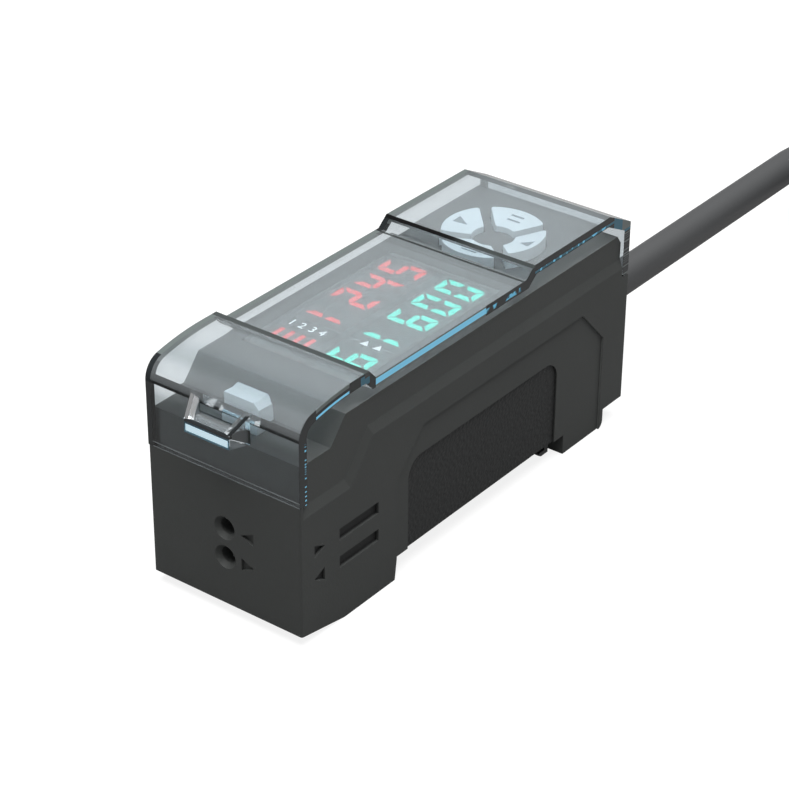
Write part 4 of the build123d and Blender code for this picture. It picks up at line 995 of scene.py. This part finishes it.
def keyMarks(work):
    # Plain signs on the keys, laid on their dished tops
    radius, y, arrow = work["labelRadius"], work["keypadY"], work["arrowHalf"]

    def bars(half, middle, spans):
        return [[(-half, middle + low), (half, middle + low), (half, middle + high), (-half, middle + high)]
                for low, high in spans]

    shapes = {
        "left": [[(-radius - arrow, y - arrow), (-radius + arrow, y), (-radius - arrow, y + arrow)]],
        "right": [[(radius + arrow, y - arrow), (radius + arrow, y + arrow), (radius - arrow, y)]],
        "rear": bars(work["rearHalf"], y + radius, work["rearBars"]),
        "front": bars(work["frontHalf"], y - radius, work["frontBars"]),
    }
    slope = (work["keyRim"] - work["keyHub"]) / (work["keyOuter"] - work["keyInner"])
    for side, outlines in shapes.items():
        bm = bmesh.new()
        for outline in outlines:
            flatShape(bm, outline, 0, work["thickness"])
        for vert in bm.verts:
            reach = math.hypot(vert.co.x / mm, vert.co.y / mm + frontFace - y)
            vert.co.z += (work["keyHub"] + slope * (reach - work["keyInner"])) * mm
        meshPiece(side + "KeyMark", bm, printGrey, side + "_button")


windowMarks(markWork)
keyMarks(markWork)
print("marks printed")


# Studio: a floor that the camera sees white, a low even world and one large soft lamp overhead
studio = {
    "floorSize": 6.0,
    "floorColour": "#767676",
    "floorRoughness": 0.9,
    "floorGlow": 0.85,
    "worldLevel": 0.3,
    "seenLevel": 1.0,
    "throughLevel": 0.72,  # of the background seen through the clear cover
    "mirrorLevel": 0.25,
    "floorThrough": 0.42,
    "floorMirror": 0.125,
    "topLamp": {"place": (0.0, 0.0, 1.1), "size": 1.2, "power": 28.0},
}


def makeFloor(work):
    # Grey paper for the light it sends back, and lit to white where the camera sees it, less so in a gloss
    bm = bmesh.new()
    bmesh.ops.create_grid(bm, x_segments=1, y_segments=1, size=work["floorSize"] / 2)
    mesh = bpy.data.meshes.new("floor")
    bm.to_mesh(mesh)
    bm.free()
    floor = bpy.data.objects.new("floor", mesh)
    material, tree, shader = newMaterial("backdrop paper, pale")
    setShader(shader, Base_Color=linear(work["floorColour"]), Roughness=work["floorRoughness"],
              Specular_IOR_Level=0.0)
    level = seenLevel(tree, work["floorGlow"], work["floorThrough"], work["floorMirror"], 0.0)
    tree.links.new(level, shader.inputs["Emission Strength"])
    setShader(shader, Emission_Color=(1, 1, 1, 1))
    mesh.materials.append(material)
    bpy.context.scene.collection.objects.link(floor)


def seenLevel(tree, seen, through, mirrored, lighting):
    # The background's level where the camera sees it, through the cover, in reflections and as light
    path = addNode(tree, "ShaderNodeLightPath")
    level = addNode(tree, "ShaderNodeMapRange", {"To Min": lighting, "To Max": mirrored},
                    {"Value": path.outputs["Is Glossy Ray"]}).outputs["Result"]
    for ray, value in (("Is Transmission Ray", through), ("Is Camera Ray", seen)):
        level = addNode(tree, "ShaderNodeMapRange", {"To Max": value},
                        {"Value": path.outputs[ray], "To Min": level}).outputs["Result"]
    return level


def makeWorld(work):
    world = bpy.data.worlds.new("studio")
    world.use_nodes = True
    tree = world.node_tree
    tree.nodes.clear()
    level = seenLevel(tree, work["seenLevel"], work["throughLevel"], work["mirrorLevel"], work["worldLevel"])
    background = addNode(tree, "ShaderNodeBackground", {"Color": (1, 1, 1, 1)}, {"Strength": level})
    addNode(tree, "ShaderNodeOutputWorld", links={"Surface": background.outputs["Background"]})
    bpy.context.scene.world = world


def makeLamp(name, work):
    data = bpy.data.lights.new(name, "AREA")
    data.shape = "SQUARE"
    data.size = work["size"]
    data.energy = work["power"]
    lamp = bpy.data.objects.new(name, data)
    place = Vector(work["place"])
    lamp.matrix_world = Matrix.Translation(place) @ place.to_track_quat("Z", "Y").to_matrix().to_4x4()
    bpy.context.scene.collection.objects.link(lamp)


makeFloor(studio)
makeWorld(studio)
makeLamp("topLamp", studio["topLamp"])
bpy.context.scene.view_settings.view_transform = "Standard"
print("studio set")
